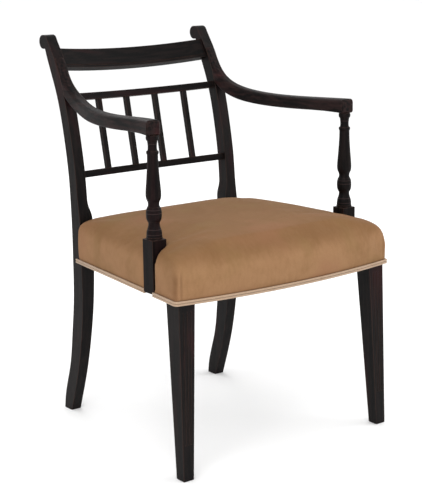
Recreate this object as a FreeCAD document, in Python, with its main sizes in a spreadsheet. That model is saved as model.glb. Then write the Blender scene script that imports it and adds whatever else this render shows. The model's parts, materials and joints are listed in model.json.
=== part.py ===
import FreeCAD, Part
import math
import os

import Sketcher
from FreeCAD import Placement, Rotation, Vector

# An open armchair: two swept back uprights, a bowed crest rail, a barred lattice, arms that sweep
# down onto turned supports, tapered grooved front legs and a domed, bow-fronted stuffed seat.
# Lengths are in millimetres. X runs across the chair from its middle, Y runs back from the front
# edge of the front feet, and Z runs up from the floor. Half widths are measured from the middle.
SIZES = {
    # Seat frame
    "rail_bottom": 358.0,
    "rail_height": 58.0,
    "side_rail_thickness": 22.0,
    "side_rail_length": 392.5,
    "front_rail_thickness": 24.0,
    "front_rail_setback": 2.5,
    "front_rail_bow": 23.0,
    "rear_rail_thickness": 20.0,
    "rear_rail_inset": 6.0,
    "tenon_thickness": 9.0,
    "tenon_length": 16.0,
    "tenon_shoulder": 8.0,
    "glue_gap": 0.15,
    "curved_gap": 0.3,
    # Front legs
    "leg_outer": 269.0,
    "leg_front": 10.0,
    "leg_width": 38.5,
    "leg_depth": 41.0,
    "foot_outer": 271.4,
    "foot_width": 24.0,
    "foot_depth": 24.4,
    "foot_bevel": 1.6,
    "groove_radius": 1.7,
    "groove_depth": 1.0,
    "groove_top_margin": 18.0,
    "groove_bottom": 74.0,
    # Back uprights, seen from the front
    "upright_outer": 216.5,
    "upright_width": 24.8,
    "upright_seat_width": 32.8,
    "upright_foot_width": 23.5,
    "shoulder_rise": 34.0,
    "shoulder_curve_height": 36.0,
    # Back uprights, seen from the side
    "upright_depth": 34.6,
    "seat_face_below": 13.0,
    "seat_face_above": 14.0,
    "heel_sweep": 63.0,
    "back_sweep": 143.0,
    "back_height": 424.0,
    "scroll_radius": 15.0,
    "scroll_flat": 4.0,
    "scroll_angle": 30.0,
    # Crest rail
    "crest_drop": 68.0,
    "crest_bead_height": 5.2,
    "crest_height": 45.0,
    "crest_thickness": 18.0,
    "crest_setback": 7.0,
    "crest_bow": 18.0,
    "crest_angle": 30.0,
    "crest_tenon_length": 14.0,
    "crest_tenon_thickness": 8.0,
    "crest_tenon_shoulder": 8.0,
    # Lattice between the uprights
    "lattice_rail_height": 14.8,
    "lattice_rail_thickness": 13.0,
    "lattice_bow": 16.5,
    "lattice_top_angle": 15.0,
    "lattice_bottom_angle": 9.0,
    "lattice_tenon_length": 9.0,
    "lattice_tenon_shoulder": 2.5,
    "bar_width": 11.6,
    "bar_pitch": 77.0,
    "bar_thickness": 10.2,
    "bar_tenon_length": 5.0,
    "bar_tenon_shoulder": 1.5,
    # Arms
    "arm_rise": 237.3,
    "arm_tip_drop": 47.5,
    "arm_end_setback": 7.55,
    "arm_thickness": 27.5,
    "arm_top_round": 8.0,
    "arm_bottom_round": 4.5,
    "arm_end_bevel": 3.0,
    "arm_tenon_width": 10.0,
    "arm_tenon_height": 22.0,
    "arm_tenon_length": 9.0,
    # Arm supports: turned post, square block and strut
    "post_setback": 61.4,
    "block_width": 33.3,
    "block_height": 51.0,
    "block_proud": 6.63,
    "strut_thickness": 16.0,
    "strut_rise": 0.4,
    "strut_bevel": 2.5,
    "post_pin_radius": 8.0,
    "post_pin_length": 14.0,
    "ring_radius": 12.6,
    "ring_height": 9.0,
    "cove_radius": 8.9,
    "cove_height": 20.0,
    "collar_radius": 12.3,
    "collar_height": 6.0,
    "shaft_radius": 10.8,
    "shaft_swell": 15.4,
    "waist_radius": 11.1,
    "bulb_radius": 15.6,
    "bulb_half_height": 14.5,
    "lower_neck_radius": 11.2,
    "bell_radius": 16.3,
    "bell_foot": 4.0,
    "bell_shoulder": 17.5,
    "bead_depth": 0.8,
    "quirk_height": 1.2,
    # Stuffed seat
    "seat_side_gap": 1.71,
    "seat_rear_side_gap": 8.68,
    "seat_corner_setback": 3.5,
    "seat_bow": 27.0,
    "seat_back_gap": 3.18,
    "seat_foot_drop": 2.0,
    "seat_rise": 48.0,
    "cover_thickness": 1.0,
    "cloth_gap": 0.3,
    "notch_gap": 0.5,
    "piping_radius": 2.25,
    # Webbing, cloths and tacks
    "strap_width": 50.0,
    "strap_thickness": 1.4,
    "strap_end_margin": 7.0,
    "hessian_thickness": 0.9,
    "bottom_cloth_thickness": 0.8,
    "bottom_cloth_margin": 5.0,
    "tack_head_radius": 4.0,
    "tack_head_height": 0.8,
    "tack_shank_radius": 0.9,
    "tack_shank_length": 9.0,
    "tack_pitch": 24.0,
    # Corner blocks and screws
    "corner_block_leg": 54.0,
    "corner_block_height": 34.0,
    "corner_block_rise": 12.0,
    "corner_block_nose": 9.0,
    "corner_block_gap": 2.0,
    "screw_shank_radius": 2.1,
    "screw_head_radius": 4.2,
    "screw_head_depth": 2.4,
    "screw_gap": 0.3,
    "block_screw_length": 34.0,
    "strut_screw_length": 27.0,
    "arm_screw_length": 38.0,
    "plug_radius": 5.5,
    "plug_length": 6.0,
    "plug_gap": 0.3,
    # Overrun of every cutter past the face that it cuts
    "overrun": 20.0,
}

# Heights of the seat's outlines as shares of its rise from cover edge to crown, and how far each
# outline is drawn in from the widest one and its corners are rounded, as shares of the dome's reach.
SEAT_LEVEL_SHARES = (0.0, 0.089, 0.135, 0.34, 0.54, 0.68, 0.78, 0.86, 0.925, 0.965, 0.99, 1.0)
SEAT_INSET_SHARES = (0.014, 0.014, 0.002, -0.006, 0.0, 0.016, 0.052, 0.115, 0.215, 0.37, 0.62, 1.0)
SEAT_BEND_SHARES = (0.045, 0.045, 0.047, 0.06, 0.085, 0.13, 0.24, 0.41, 0.59, 0.74, 0.74, 0.36)

# How much more the dome is drawn in at the rear than at the sides
REAR_FALL_SHARE = 1.0

# Side outline of a back upright: height, sweep backwards and depth. The leg's heights are shares of
# the height of the flat face at the seat, the back's are shares of its rise to the top of the scroll.
LEG_SHARES = (
    (0.0, 1.0, 0.828),
    (0.104, 0.794, 1.039),
    (0.301, 0.441, 1.03),
    (0.533, 0.162, 1.108),
    (0.759, 0.011, 1.072),
    (1.0, 0.0, 1.0),
)
BACK_SHARES = (
    (0.0, 0.0, 0.988),
    (0.112, 0.036, 0.883),
    (0.268, 0.078, 0.828),
    (0.42, 0.148, 0.813),
    (0.561, 0.234, 0.813),
    (0.698, 0.343, 0.858),
    (0.788, 0.441, 0.919),
    (0.88, 0.577, 0.861),
)

# An arm from its front end to its tip: run back to the scroll, outward reach from the upright to the
# post, lift from the front end's top to the tip's, and thickness
ARM_SWEEP_SHARES = (
    (0.0, 1.036, 0.0, 1.1),
    (0.059, 0.956, -0.005, 1.04),
    (0.138, 0.877, -0.019, 0.992),
    (0.283, 0.788, -0.047, 0.984),
    (0.428, 0.617, -0.054, 0.988),
    (0.562, 0.365, -0.012, 1.008),
    (0.676, 0.108, 0.104, 1.02),
)
ARM_ROOT_SHARES = (
    (0.759, 0.008, 0.293, 0.98),
    (0.817, 0.0, 0.578, 0.9),
    (0.869, 0.0, 1.0, 0.8),
)
ARM_SHARES = ARM_SWEEP_SHARES + ARM_ROOT_SHARES
ARM_TENON_SHARE = 0.293

# How far the seat's dome reaches inwards, of the side rail's length
DOME_REACH_SHARE = 0.3312

# Fall of the upper lattice rail and rise of the lower one, of the way from the seat up to the crest
LATTICE_FALL_SHARE = 0.2101
LATTICE_RISE_SHARE = 0.2539

# Heights of the post's swell, waist, bulb and lower neck between its block and the arm
POST_LEVEL_SHARES = (0.435, 0.341, 0.242, 0.147)

# Grooves across a front leg's face, bars and straps across the seat, as shares of the width.
GROOVE_SHARES = (0.26, 0.5, 0.74)
BAR_COUNT = 4
LONG_STRAP_SHARES = (-0.66, -0.22, 0.22, 0.66)
CROSS_STRAP_SHARES = (0.046, 0.33, 0.60, 0.86)
FRONT_TACK_SHARES = (-0.8, -0.4, 0.0, 0.4, 0.8)
SIDE_TACK_SHARES = (0.07, 0.36, 0.62, 0.88)
REAR_TACK_SHARES = (-0.72, -0.24, 0.24, 0.72)

# How far the rear edge runs in under the scroll, as a share of the scroll's radius
THROAT_SHARE = 0.08

# Turned post: where its curves bend, as shares of the lengths between their ends and of the bead's
# depth
COVE_SHARES = (0.3, 0.62)
STEP_SHARE = 1.4
SHAFT_SHARES = ((0.03, 0.86), (0.3, 0.56), (0.68, 0.28), (0.94, 0.09))
WAIST_SHARES = ((0.68, 0.5), (0.12, 0.2))
BULB_EDGE_SHARES = (3.6, 3.8)
BULB_CHEEK_SHARES = (0.7, 0.55)
NECK_SHARES = (1.6, 0.55)
BELL_SHARES = (2.4, 1.0, 0.8)

# Shares of the upright's inner waste: how far its two small curves bend at the shoulder, and how
# much of the leg's taper is done halfway down
SHOULDER_BEND_SHARE = 0.3
LEG_TAPER_SHARE = 0.72

# Where the two screws of a corner block enter its slanted face, as a share of the face's width
BLOCK_SCREW_SHARE = 0.34

RIGHT = 1
LEFT = -1
SIDE_NAMES = {RIGHT: "right", LEFT: "left"}

os.makedirs("parts", exist_ok=True)
doc = FreeCAD.newDocument("armchair")
sheet = doc.addObject("Spreadsheet::Sheet", "Sizes")
for row, (alias, number) in enumerate(SIZES.items(), start=1):
    sheet.set(f"A{row}", alias)
    sheet.set(f"B{row}", str(number))
    sheet.setAlias(f"B{row}", alias)
doc.recompute()

nodes = []


class Dim:
    """A length with the sheet expression that it comes from."""

    def __init__(self, text, value):
        self.text = text
        self.value = float(value)

    @staticmethod
    def wrap(other):
        return other if isinstance(other, Dim) else Dim(repr(float(other)), other)

    def __add__(self, other):
        other = Dim.wrap(other)
        return Dim(f"({self.text} + {other.text})", self.value + other.value)

    def __sub__(self, other):
        other = Dim.wrap(other)
        return Dim(f"({self.text} - {other.text})", self.value - other.value)

    def __mul__(self, other):
        other = Dim.wrap(other)
        return Dim(f"({self.text} * {other.text})", self.value * other.value)

    def __truediv__(self, other):
        other = Dim.wrap(other)
        return Dim(f"({self.text} / {other.text})", self.value / other.value)

    def __neg__(self):
        return Dim(f"(0 - {self.text})", -self.value)

    __radd__ = __add__
    __rmul__ = __mul__


def dim(name):
    """A size of the sheet, for binding."""
    return Dim(f"Sizes.{name}", sheet.get(name))


def size(name):
    """A size of the sheet, as a number."""
    return float(sheet.get(name))


def bind(obj, prop, length):
    obj.setExpression(prop, Dim.wrap(length).text)


# Derived lengths that more than one piece follows
RAIL_TOP = dim("rail_bottom") + dim("rail_height")
LEG_REAR = dim("leg_front") + dim("leg_depth")
LEG_INNER = dim("leg_outer") - dim("leg_width")
SEAT_FACE = LEG_REAR + dim("side_rail_length")
FACE_BOTTOM = dim("rail_bottom") - dim("seat_face_below")
FACE_TOP = RAIL_TOP + dim("seat_face_above")
SCROLL_TOP = RAIL_TOP + dim("back_height")
SCROLL_REAR = SEAT_FACE + dim("back_sweep")
CREST_LOW = SCROLL_TOP - dim("crest_drop")
UPRIGHT_INNER = dim("upright_outer") - dim("upright_width")
SEAT_BLOCK_INNER = dim("upright_outer") - dim("upright_seat_width")
SIDE_SLOPE = (dim("leg_outer") - dim("upright_outer")) / dim("side_rail_length")
FRONT_RAIL_FRONT = dim("leg_front") + dim("front_rail_setback")
FRONT_RAIL_REAR = FRONT_RAIL_FRONT + dim("front_rail_thickness")
REAR_RAIL_FRONT = SEAT_FACE + dim("rear_rail_inset")
REAR_RAIL_REAR = REAR_RAIL_FRONT + dim("rear_rail_thickness")
TENON_BOTTOM = dim("rail_bottom") + dim("tenon_shoulder")
TENON_HEIGHT = dim("rail_height") - dim("tenon_shoulder") * 2
SEAT_BOTTOM = dim("rail_bottom") - dim("seat_foot_drop")
SEAT_CROWN = RAIL_TOP + dim("seat_rise")
LATTICE_SPAN = CREST_LOW - SEAT_CROWN
DOME_REACH = dim("side_rail_length") * DOME_REACH_SHARE
FOOT_INSET = DOME_REACH * SEAT_INSET_SHARES[0]
COVER_REACH = FOOT_INSET + dim("cover_thickness")
SEAT_REAR = REAR_RAIL_REAR + COVER_REACH + dim("seat_back_gap")
SEAT_CORNER_FRONT = dim("leg_front") - dim("seat_corner_setback")
SEAT_HALF_FRONT = dim("leg_outer") + COVER_REACH + dim("seat_side_gap")
SEAT_HALF_REAR = dim("upright_outer") + COVER_REACH + dim("seat_rear_side_gap")
SEAT_SLOPE = (SEAT_HALF_FRONT - SEAT_HALF_REAR) / dim("side_rail_length")
SEAT_FRONT_HALF = SEAT_HALF_FRONT + SEAT_SLOPE * (LEG_REAR - SEAT_CORNER_FRONT)
PIPING_INSET = FOOT_INSET - dim("piping_radius") - dim("cloth_gap")
FRONT_REACH = SEAT_CORNER_FRONT - dim("seat_bow") + PIPING_INSET - dim("piping_radius")
MIDDLE_BACK = (SCROLL_REAR + FRONT_REACH) / 2


def rail_outer(back):
    """Half width of the side rail's outer face at a distance back."""
    return dim("leg_outer") - SIDE_SLOPE * (back - LEG_REAR)


# Middle, foot and outer face of an arm's post, and the front end of the arm over it
POST_BACK = LEG_REAR + dim("post_setback")
POST_OUTER = rail_outer(POST_BACK) + dim("block_proud")
POST_MIDDLE = POST_OUTER - dim("block_width") / 2
BLOCK_TOP = RAIL_TOP + dim("block_height")
STRUT_BOTTOM = dim("rail_bottom") + dim("strut_rise")
ARM_TOP = SEAT_CROWN + dim("arm_rise")
ARM_END = POST_BACK - dim("block_width") / 2 + dim("arm_end_setback")
ARM_LIFT = SCROLL_TOP - dim("arm_tip_drop") - ARM_TOP
ARM_TENON_LEVEL = ARM_TOP + ARM_LIFT * ARM_TENON_SHARE


def finish(obj, label):
    """Name a sub-part and set the chair's middle over the origin."""
    obj.Label = label
    obj.Placement = Placement(Vector(0, -MIDDLE_BACK.value, 0), Rotation())
    bind(obj, "Placement.Base.y", -MIDDLE_BACK)
    nodes.append(obj)
    return obj


def shape_node(label, shape):
    """A sub-part whose shape is made with Part's own functions."""
    obj = doc.addObject("Part::Feature", label)
    obj.Shape = shape
    return finish(obj, label)


def drilled(label, base, holes):
    """A sub-part cut from a body by its screw and tack holes."""
    tool = doc.addObject("Part::Feature", label + "_holes")
    tool.Shape = Part.makeCompound(holes)
    cut = doc.addObject("Part::Cut", label + "_drilled")
    cut.Base = base
    cut.Tool = tool
    return finish(cut, label)


def new_body(label):
    body = doc.addObject("PartDesign::Body", label)
    return body


def own_plane(body, role):
    return next(plane for plane in body.Origin.OriginFeatures if plane.Role == role)


def box_feature(body, name, low, high, cut=False):
    """An added or cut box between two corners given as lengths."""
    kind = "PartDesign::SubtractiveBox" if cut else "PartDesign::AdditiveBox"
    box = body.newObject(kind, name)
    for prop, axis, start, end in zip(("Length", "Width", "Height"), "xyz", low, high):
        start = Dim.wrap(start)
        end = Dim.wrap(end)
        if end.value < start.value:
            start, end = end, start
        bind(box, prop, end - start)
        bind(box, "Placement.Base." + axis, start)
    return box


def outline(body, role, name, corners, lift=None, bulges=None):
    """A closed sketch through corners; a bulge makes that side an arc, outwards if positive."""
    bulges = bulges or {}
    corners = [(Dim.wrap(across), Dim.wrap(up)) for across, up in corners]
    area = sum(
        start[0].value * end[1].value - end[0].value * start[1].value
        for start, end in zip(corners, corners[1:] + corners[:1])
    )
    turn = math.copysign(1, area)
    sketch = body.newObject("Sketcher::SketchObject", name)
    sketch.AttachmentSupport = [(own_plane(body, role), "")]
    sketch.MapMode = "FlatFace"
    if lift is not None:
        bind(sketch, "AttachmentOffset.Base.z", lift)
    ends = []
    radii = {}
    for index, start in enumerate(corners):
        end = corners[(index + 1) % len(corners)]
        first = Vector(start[0].value, start[1].value, 0)
        last = Vector(end[0].value, end[1].value, 0)
        if index not in bulges:
            sketch.addGeometry(Part.LineSegment(first, last), False)
            ends.append((1, 2))
            continue
        bulge = Dim.wrap(bulges[index])
        wide = end[0] - start[0]
        tall = end[1] - start[1]
        chord_square = wide * wide + tall * tall
        radius = (chord_square / 4 + bulge * bulge) / (bulge * 2)
        along = (last - first).normalize()
        outward = Vector(along.y, -along.x, 0) * turn
        centre = (first + last) * 0.5 + outward * (bulge.value - radius.value)
        counter = turn * bulge.value > 0
        begin, stop = (first, last) if counter else (last, first)
        low = math.atan2(begin.y - centre.y, begin.x - centre.x)
        high = math.atan2(stop.y - centre.y, stop.x - centre.x)
        if high < low:
            high += 2 * math.pi
        circle = Part.Circle(centre, Vector(0, 0, 1), abs(radius.value))
        sketch.addGeometry(Part.ArcOfCircle(circle, low, high), False)
        ends.append((1, 2) if counter else (2, 1))
        radii[index] = radius if radius.value > 0 else -radius
    for index in range(len(corners)):
        before = index - 1 if index else len(corners) - 1
        sketch.addConstraint(
            Sketcher.Constraint("Coincident", before, ends[before][1], index, ends[index][0])
        )
    for index, (across, up) in enumerate(corners):
        point = ends[index][0]
        for kind, length in (("DistanceX", across), ("DistanceY", up)):
            number = sketch.addConstraint(Sketcher.Constraint(kind, -1, 1, index, point, length.value))
            sketch.setExpression(f"Constraints[{number}]", length.text)
    for index, radius in radii.items():
        number = sketch.addConstraint(Sketcher.Constraint("Radius", index, radius.value))
        sketch.setExpression(f"Constraints[{number}]", radius.text)
    return sketch


def pad(body, name, sketch, length):
    feature = body.newObject("PartDesign::Pad", name)
    feature.Profile = sketch
    bind(feature, "Length", length)
    return feature


def pocket(body, name, sketch, length):
    """Cut a sketch's outline upwards through a length."""
    doc.recompute()
    before = body.Shape.Volume
    feature = body.newObject("PartDesign::Pocket", name)
    feature.Profile = sketch
    feature.Reversed = True
    bind(feature, "Length", length)
    doc.recompute()
    if body.Shape.Volume >= before:
        raise RuntimeError(f"{name} cuts nothing")
    return feature


def solid_box(low, high):
    """A box between two corners, in any order."""
    start = Vector(*[min(pair) for pair in zip(low, high)])
    end = Vector(*[max(pair) for pair in zip(low, high)])
    edge = end - start
    return Part.makeBox(edge.x, edge.y, edge.z, start)


def mirrored(shape, side):
    return shape if side == RIGHT else shape.mirror(Vector(0, 0, 0), Vector(1, 0, 0))


def screw(head, way, length, gap=0.0):
    """A countersunk screw from the middle of its head, or its hole when a gap is given."""
    head_radius = size("screw_head_radius") + gap
    shank_radius = size("screw_shank_radius") + gap
    cone = Part.makeCone(head_radius, shank_radius, size("screw_head_depth"), head, way)
    shank = Part.makeCylinder(shank_radius, length + gap, head, way)
    return cone.fuse(shank).removeSplitter()


def tack(top, way, gap=0.0):
    """A tack whose head lies on a cloth at a point and whose shank goes the given way."""
    shank = Part.makeCylinder(
        size("tack_shank_radius") + gap, size("tack_shank_length") + gap, top, way
    )
    if gap:
        return shank
    head = Part.makeCylinder(size("tack_head_radius"), size("tack_head_height"), top, way * -1)
    return head.fuse(shank).removeSplitter()


def spline(points, tangents=None):
    """A smooth curve through points, with its first and last tangents where they are given."""
    curve = Part.BSplineCurve()
    if tangents is None:
        curve.interpolate(points)
    else:
        curve.interpolate(Points=points, InitialTangent=tangents[0], FinalTangent=tangents[1])
    return curve.toShape()


def upright_stations():
    """Height, front edge and depth of the upright from its heel to the foot of its scroll."""
    depth = size("upright_depth")
    low = FACE_BOTTOM.value
    high = FACE_TOP.value
    rise = SCROLL_TOP.value - high
    face = SEAT_FACE.value
    leg = [(low * up, face + size("heel_sweep") * out, depth * deep) for up, out, deep in LEG_SHARES]
    back = [
        (high + rise * up, face + size("back_sweep") * out, depth * deep)
        for up, out, deep in BACK_SHARES
    ]
    return leg + back


def swept_edge(front, grow=0.0):
    """Points along the upright's front or rear edge, heel first, grown outwards."""
    if front:
        return [Vector(0, near - grow, level) for level, near, depth in upright_stations()]
    return [Vector(0, near + depth + grow, level) for level, near, depth in upright_stations()]


def scroll_middle():
    return Vector(
        0,
        SCROLL_REAR.value - size("scroll_radius"),
        SCROLL_TOP.value - size("scroll_radius"),
    )


def upright_blank(low_x, high_x, grow=0.0):
    """The upright's side outline, carried from one half width to another."""
    middle = scroll_middle()
    brow = middle - Vector(0, size("scroll_flat"), 0)
    radius = size("scroll_radius") + grow
    lean = math.radians(size("scroll_angle"))
    touch = brow + Vector(0, -math.cos(lean), math.sin(lean)) * radius
    throat = middle + Vector(0, -math.sin(lean), -math.cos(lean)) * size("scroll_radius")
    throat = throat + (middle - throat) * THROAT_SHARE
    front = swept_edge(True, grow) + [touch]
    rear = swept_edge(False, grow) + [throat]
    low_seat = len(LEG_SHARES) - 1
    high_seat = low_seat + 1
    up = Vector(0, 0, 1)
    heel_way = (front[1] - front[0]).normalize()
    brow_way = Vector(0, math.sin(lean), math.cos(lean))
    edges = [
        spline(front[:high_seat], (heel_way, up)),
        Part.makeLine(front[low_seat], front[high_seat]),
        spline(front[high_seat:], (up, brow_way)),
        Part.makeLine(touch, brow),
        Part.makeLine(brow, throat),
        spline(rear),
        Part.makeLine(rear[0], front[0]),
    ]
    face = Part.Face(Part.Wire(Part.__sortEdges__(edges)))
    span = high_x - low_x
    across = Vector(1, 0, 0)
    rolls = [Part.makeCylinder(radius, span, point, across) for point in (brow, middle)]
    rolls.append(solid_box((0.0, brow.y, brow.z), (span, middle.y, middle.z + radius)))
    body = face.extrude(across * span).fuse(rolls).removeSplitter()
    body.translate(Vector(low_x, 0, 0))
    return body


def inner_waste():
    """What is sawn off the upright's inner face: above the shoulder, and along the rear leg."""
    outer = size("upright_outer")
    back = SCROLL_REAR.value + size("overrun")
    inner = outer - size("upright_seat_width")
    waist = outer - size("upright_width")
    top = SCROLL_TOP.value + size("overrun")
    bottom = -size("overrun")
    beyond = inner - size("overrun")
    rise = size("shoulder_curve_height") / 2
    shoulder_bottom = RAIL_TOP.value + size("shoulder_rise")
    middle = shoulder_bottom + rise
    shoulder_top = middle + rise
    half = (waist - inner) / 2
    bend = SHOULDER_BEND_SHARE
    upper = [
        Part.makeLine(Vector(beyond, 0, top), Vector(waist, 0, top)),
        Part.makeLine(Vector(waist, 0, top), Vector(waist, 0, shoulder_top)),
        Part.Arc(
            Vector(waist, 0, shoulder_top),
            Vector(inner + half + half * (1 - bend), 0, middle + rise / 2),
            Vector(inner + half, 0, middle),
        ).toShape(),
        Part.Arc(
            Vector(inner + half, 0, middle),
            Vector(inner + half * bend, 0, middle - rise / 2),
            Vector(inner, 0, shoulder_bottom),
        ).toShape(),
        Part.makeLine(Vector(inner, 0, shoulder_bottom), Vector(beyond, 0, shoulder_bottom)),
        Part.makeLine(Vector(beyond, 0, shoulder_bottom), Vector(beyond, 0, top)),
    ]
    foot = outer - size("upright_foot_width")
    knee = FACE_BOTTOM.value
    middle_x = inner + (foot - inner) * LEG_TAPER_SHARE
    lower = [
        Part.makeLine(Vector(beyond, 0, knee), Vector(inner, 0, knee)),
        Part.Arc(
            Vector(inner, 0, knee),
            Vector(middle_x, 0, knee / 2),
            Vector(foot, 0, 0),
        ).toShape(),
        Part.makeLine(Vector(foot, 0, 0), Vector(foot, 0, bottom)),
        Part.makeLine(Vector(foot, 0, bottom), Vector(beyond, 0, bottom)),
        Part.makeLine(Vector(beyond, 0, bottom), Vector(beyond, 0, knee)),
    ]
    return [
        Part.Face(Part.Wire(edges)).extrude(Vector(0, back, 0)) for edges in (upper, lower)
    ]


def lean_frame(level, front, lean):
    """Placement of a leaning rail: its own Y runs through the rail and its Z up the lean."""
    return Placement(Vector(0, front, level), Rotation(Vector(1, 0, 0), -lean))


def front_at(level):
    """The upright's front edge at a height, between its two nearest stations."""
    points = swept_edge(True)
    for low, high in zip(points, points[1:]):
        if low.z <= level <= high.z:
            share = (level - low.z) / (high.z - low.z)
            return low.y + (high.y - low.y) * share
    return points[-1].y


def depth_at(level):
    points = zip(swept_edge(True), swept_edge(False))
    pairs = [(near.z, far.y - near.y) for near, far in points]
    for (low, low_depth), (high, high_depth) in zip(pairs, pairs[1:]):
        if low <= level <= high:
            return low_depth + (high_depth - low_depth) * (level - low) / (high - low)
    return pairs[-1][1]


def bowed_board(half, thickness, tall, bow):
    """A board bowed backwards, from z = 0 up, with its front face's ends on y = 0."""
    if bow:
        front = Part.Arc(Vector(-half, 0, 0), Vector(0, bow, 0), Vector(half, 0, 0)).toShape()
        rear = Part.Arc(
            Vector(half, thickness, 0), Vector(0, bow + thickness, 0), Vector(-half, thickness, 0)
        ).toShape()
    else:
        front = Part.makeLine(Vector(-half, 0, 0), Vector(half, 0, 0))
        rear = Part.makeLine(Vector(half, thickness, 0), Vector(-half, thickness, 0))
    ends = [
        Part.makeLine(Vector(half, 0, 0), Vector(half, thickness, 0)),
        Part.makeLine(Vector(-half, thickness, 0), Vector(-half, 0, 0)),
    ]
    wire = Part.Wire([front, ends[0], rear, ends[1]])
    return Part.Face(wire).extrude(Vector(0, 0, tall))


def end_tenon(half, length, thickness, cheek, tall, shoulder, gap=0.0):
    """A tenon at the board's right end, or its mortise when a gap is given."""
    margin = (thickness - cheek) / 2
    return solid_box(
        (half - size("glue_gap"), margin - gap, shoulder - gap),
        (half + length + gap, thickness - margin + gap, tall - shoulder + gap),
    )


def crest_frame():
    front = front_at(CREST_LOW.value) + size("crest_setback")
    return lean_frame(CREST_LOW.value, front, size("crest_angle"))


def crest_tenon(gap=0.0):
    tenon = end_tenon(
        UPRIGHT_INNER.value,
        size("crest_tenon_length"),
        size("crest_thickness"),
        size("crest_tenon_thickness"),
        size("crest_height"),
        size("crest_tenon_shoulder"),
        gap,
    )
    tenon.Placement = crest_frame()
    return tenon


def lattice_frame(which):
    """Frame of a lattice rail, through the middle of its height and of the upright's depth."""
    levels = {
        "top": CREST_LOW - LATTICE_SPAN * LATTICE_FALL_SHARE,
        "bottom": SEAT_CROWN + LATTICE_SPAN * LATTICE_RISE_SHARE,
    }
    level = levels[which].value
    lean = size(f"lattice_{which}_angle")
    middle = Vector(0, front_at(level) + depth_at(level) / 2, level)
    turn = Rotation(Vector(1, 0, 0), -lean)
    corner = turn.multVec(
        Vector(0, -size("lattice_rail_thickness") / 2, -size("lattice_rail_height") / 2)
    )
    return Placement(middle + corner, turn)


def lattice_tenon(which, gap=0.0):
    tenon = end_tenon(
        UPRIGHT_INNER.value,
        size("lattice_tenon_length"),
        size("lattice_rail_thickness"),
        size("lattice_rail_thickness") - size("lattice_tenon_shoulder") * 2,
        size("lattice_rail_height"),
        size("lattice_tenon_shoulder"),
        gap,
    )
    tenon.Placement = lattice_frame(which)
    return tenon


def arm_tenon(gap=0.0):
    """Tenon from the arm's root into the upright's front face."""
    level = ARM_TENON_LEVEL.value
    face = front_at(level)
    middle = size("upright_outer") - size("upright_width") / 2
    half = size("arm_tenon_width") / 2 + gap
    tall = size("arm_tenon_height") / 2 + gap
    return solid_box(
        (middle - half, face - size("arm_tenon_length"), level - tall),
        (middle + half, face + size("arm_tenon_length") + gap, level + tall),
    )


def arm_screw_line():
    """Head point, direction and plug seat of the screw that draws the arm to the upright."""
    level = ARM_TENON_LEVEL.value
    middle = size("upright_outer") - size("upright_width") / 2
    rear = front_at(level) + depth_at(level)
    seat = Vector(middle, rear - size("plug_length"), level)
    return seat, Vector(0, -1, 0)


def side_tenon_corners(end, gap):
    """Plan corners of the side rail's strip of tenon, past the leg or the upright."""
    centre = dim("side_rail_thickness") / 2
    half = dim("tenon_thickness") / 2 + gap
    front = LEG_REAR - dim("tenon_length") - gap
    rear = SEAT_FACE + dim("tenon_length") + gap
    first, last = {
        "both": (front, rear),
        "front": (front, LEG_REAR + dim("overrun")),
        "rear": (SEAT_FACE - dim("overrun"), rear),
    }[end]
    return [
        (rail_outer(first) - centre + half, first),
        (rail_outer(last) - centre + half, last),
        (rail_outer(last) - centre - half, last),
        (rail_outer(first) - centre - half, first),
    ]


def plan_prism(corners, bottom, top, side=RIGHT):
    """A straight prism over plan corners, for either side of the chair."""
    points = [Vector(side * Dim.wrap(x).value, Dim.wrap(y).value, bottom) for x, y in corners]
    face = Part.Face(Part.makePolygon(points + points[:1]))
    return face.extrude(Vector(0, 0, top - bottom))


def strut_screw_heads(side):
    """Head points of the two screws that hold a strut to the side rail, inside the rail."""
    inner = rail_outer(POST_BACK) - dim("side_rail_thickness")
    low = STRUT_BOTTOM.value
    rise = (RAIL_TOP.value - low) / 4
    return [
        Vector(side * inner.value, POST_BACK.value, low + rise * count) for count in (1, 3)
    ]


def strut_screws(side, gap=0.0):
    return [
        screw(head, Vector(side, 0, 0), size("strut_screw_length"), gap)
        for head in strut_screw_heads(side)
    ]


def corner_block_corners(end):
    """Plan corners of a block that fills the inner corner of the seat frame, clear of the leg."""
    leg = dim("corner_block_leg")
    nose = dim("corner_block_nose")
    gap = dim("corner_block_gap")
    thick = dim("side_rail_thickness")
    if end == "front":
        face = FRONT_RAIL_REAR
        start = LEG_REAR + gap
        far = LEG_REAR + leg
        inner = LEG_INNER - gap
        return [
            (inner, face),
            (inner - leg, face),
            (inner - leg, face + nose),
            (rail_outer(far) - thick - nose, far),
            (rail_outer(far) - thick, far),
            (rail_outer(start) - thick, start),
            (inner, start),
        ]
    face = REAR_RAIL_FRONT
    start = SEAT_FACE - gap
    far = SEAT_FACE - leg
    inner = SEAT_BLOCK_INNER - gap
    return [
        (inner, face),
        (inner - leg, face),
        (inner - leg, face - nose),
        (rail_outer(far) - thick - nose, far),
        (rail_outer(far) - thick, far),
        (rail_outer(start) - thick, start),
        (inner, start),
    ]


def block_screws(end, side, gap=0.0):
    """The two screws of a corner block: one into the cross rail and one into the side rail."""
    corners = [(x.value, y.value) for x, y in corner_block_corners(end)]
    level = size("rail_bottom") + size("corner_block_rise") + size("corner_block_height") / 2
    hinge, tip = corners[2], corners[3]
    way_y = -1 if end == "front" else 1
    share = BLOCK_SCREW_SHARE
    first = [hinge[axis] + (tip[axis] - hinge[axis]) * share for axis in (0, 1)]
    second = [hinge[axis] + (tip[axis] - hinge[axis]) * (1 - share) for axis in (0, 1)]
    length = size("block_screw_length")
    return [
        screw(Vector(side * first[0], first[1], level), Vector(0, way_y, 0), length, gap),
        screw(Vector(side * second[0], second[1], level), Vector(side, 0, 0), length, gap),
    ]


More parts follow.
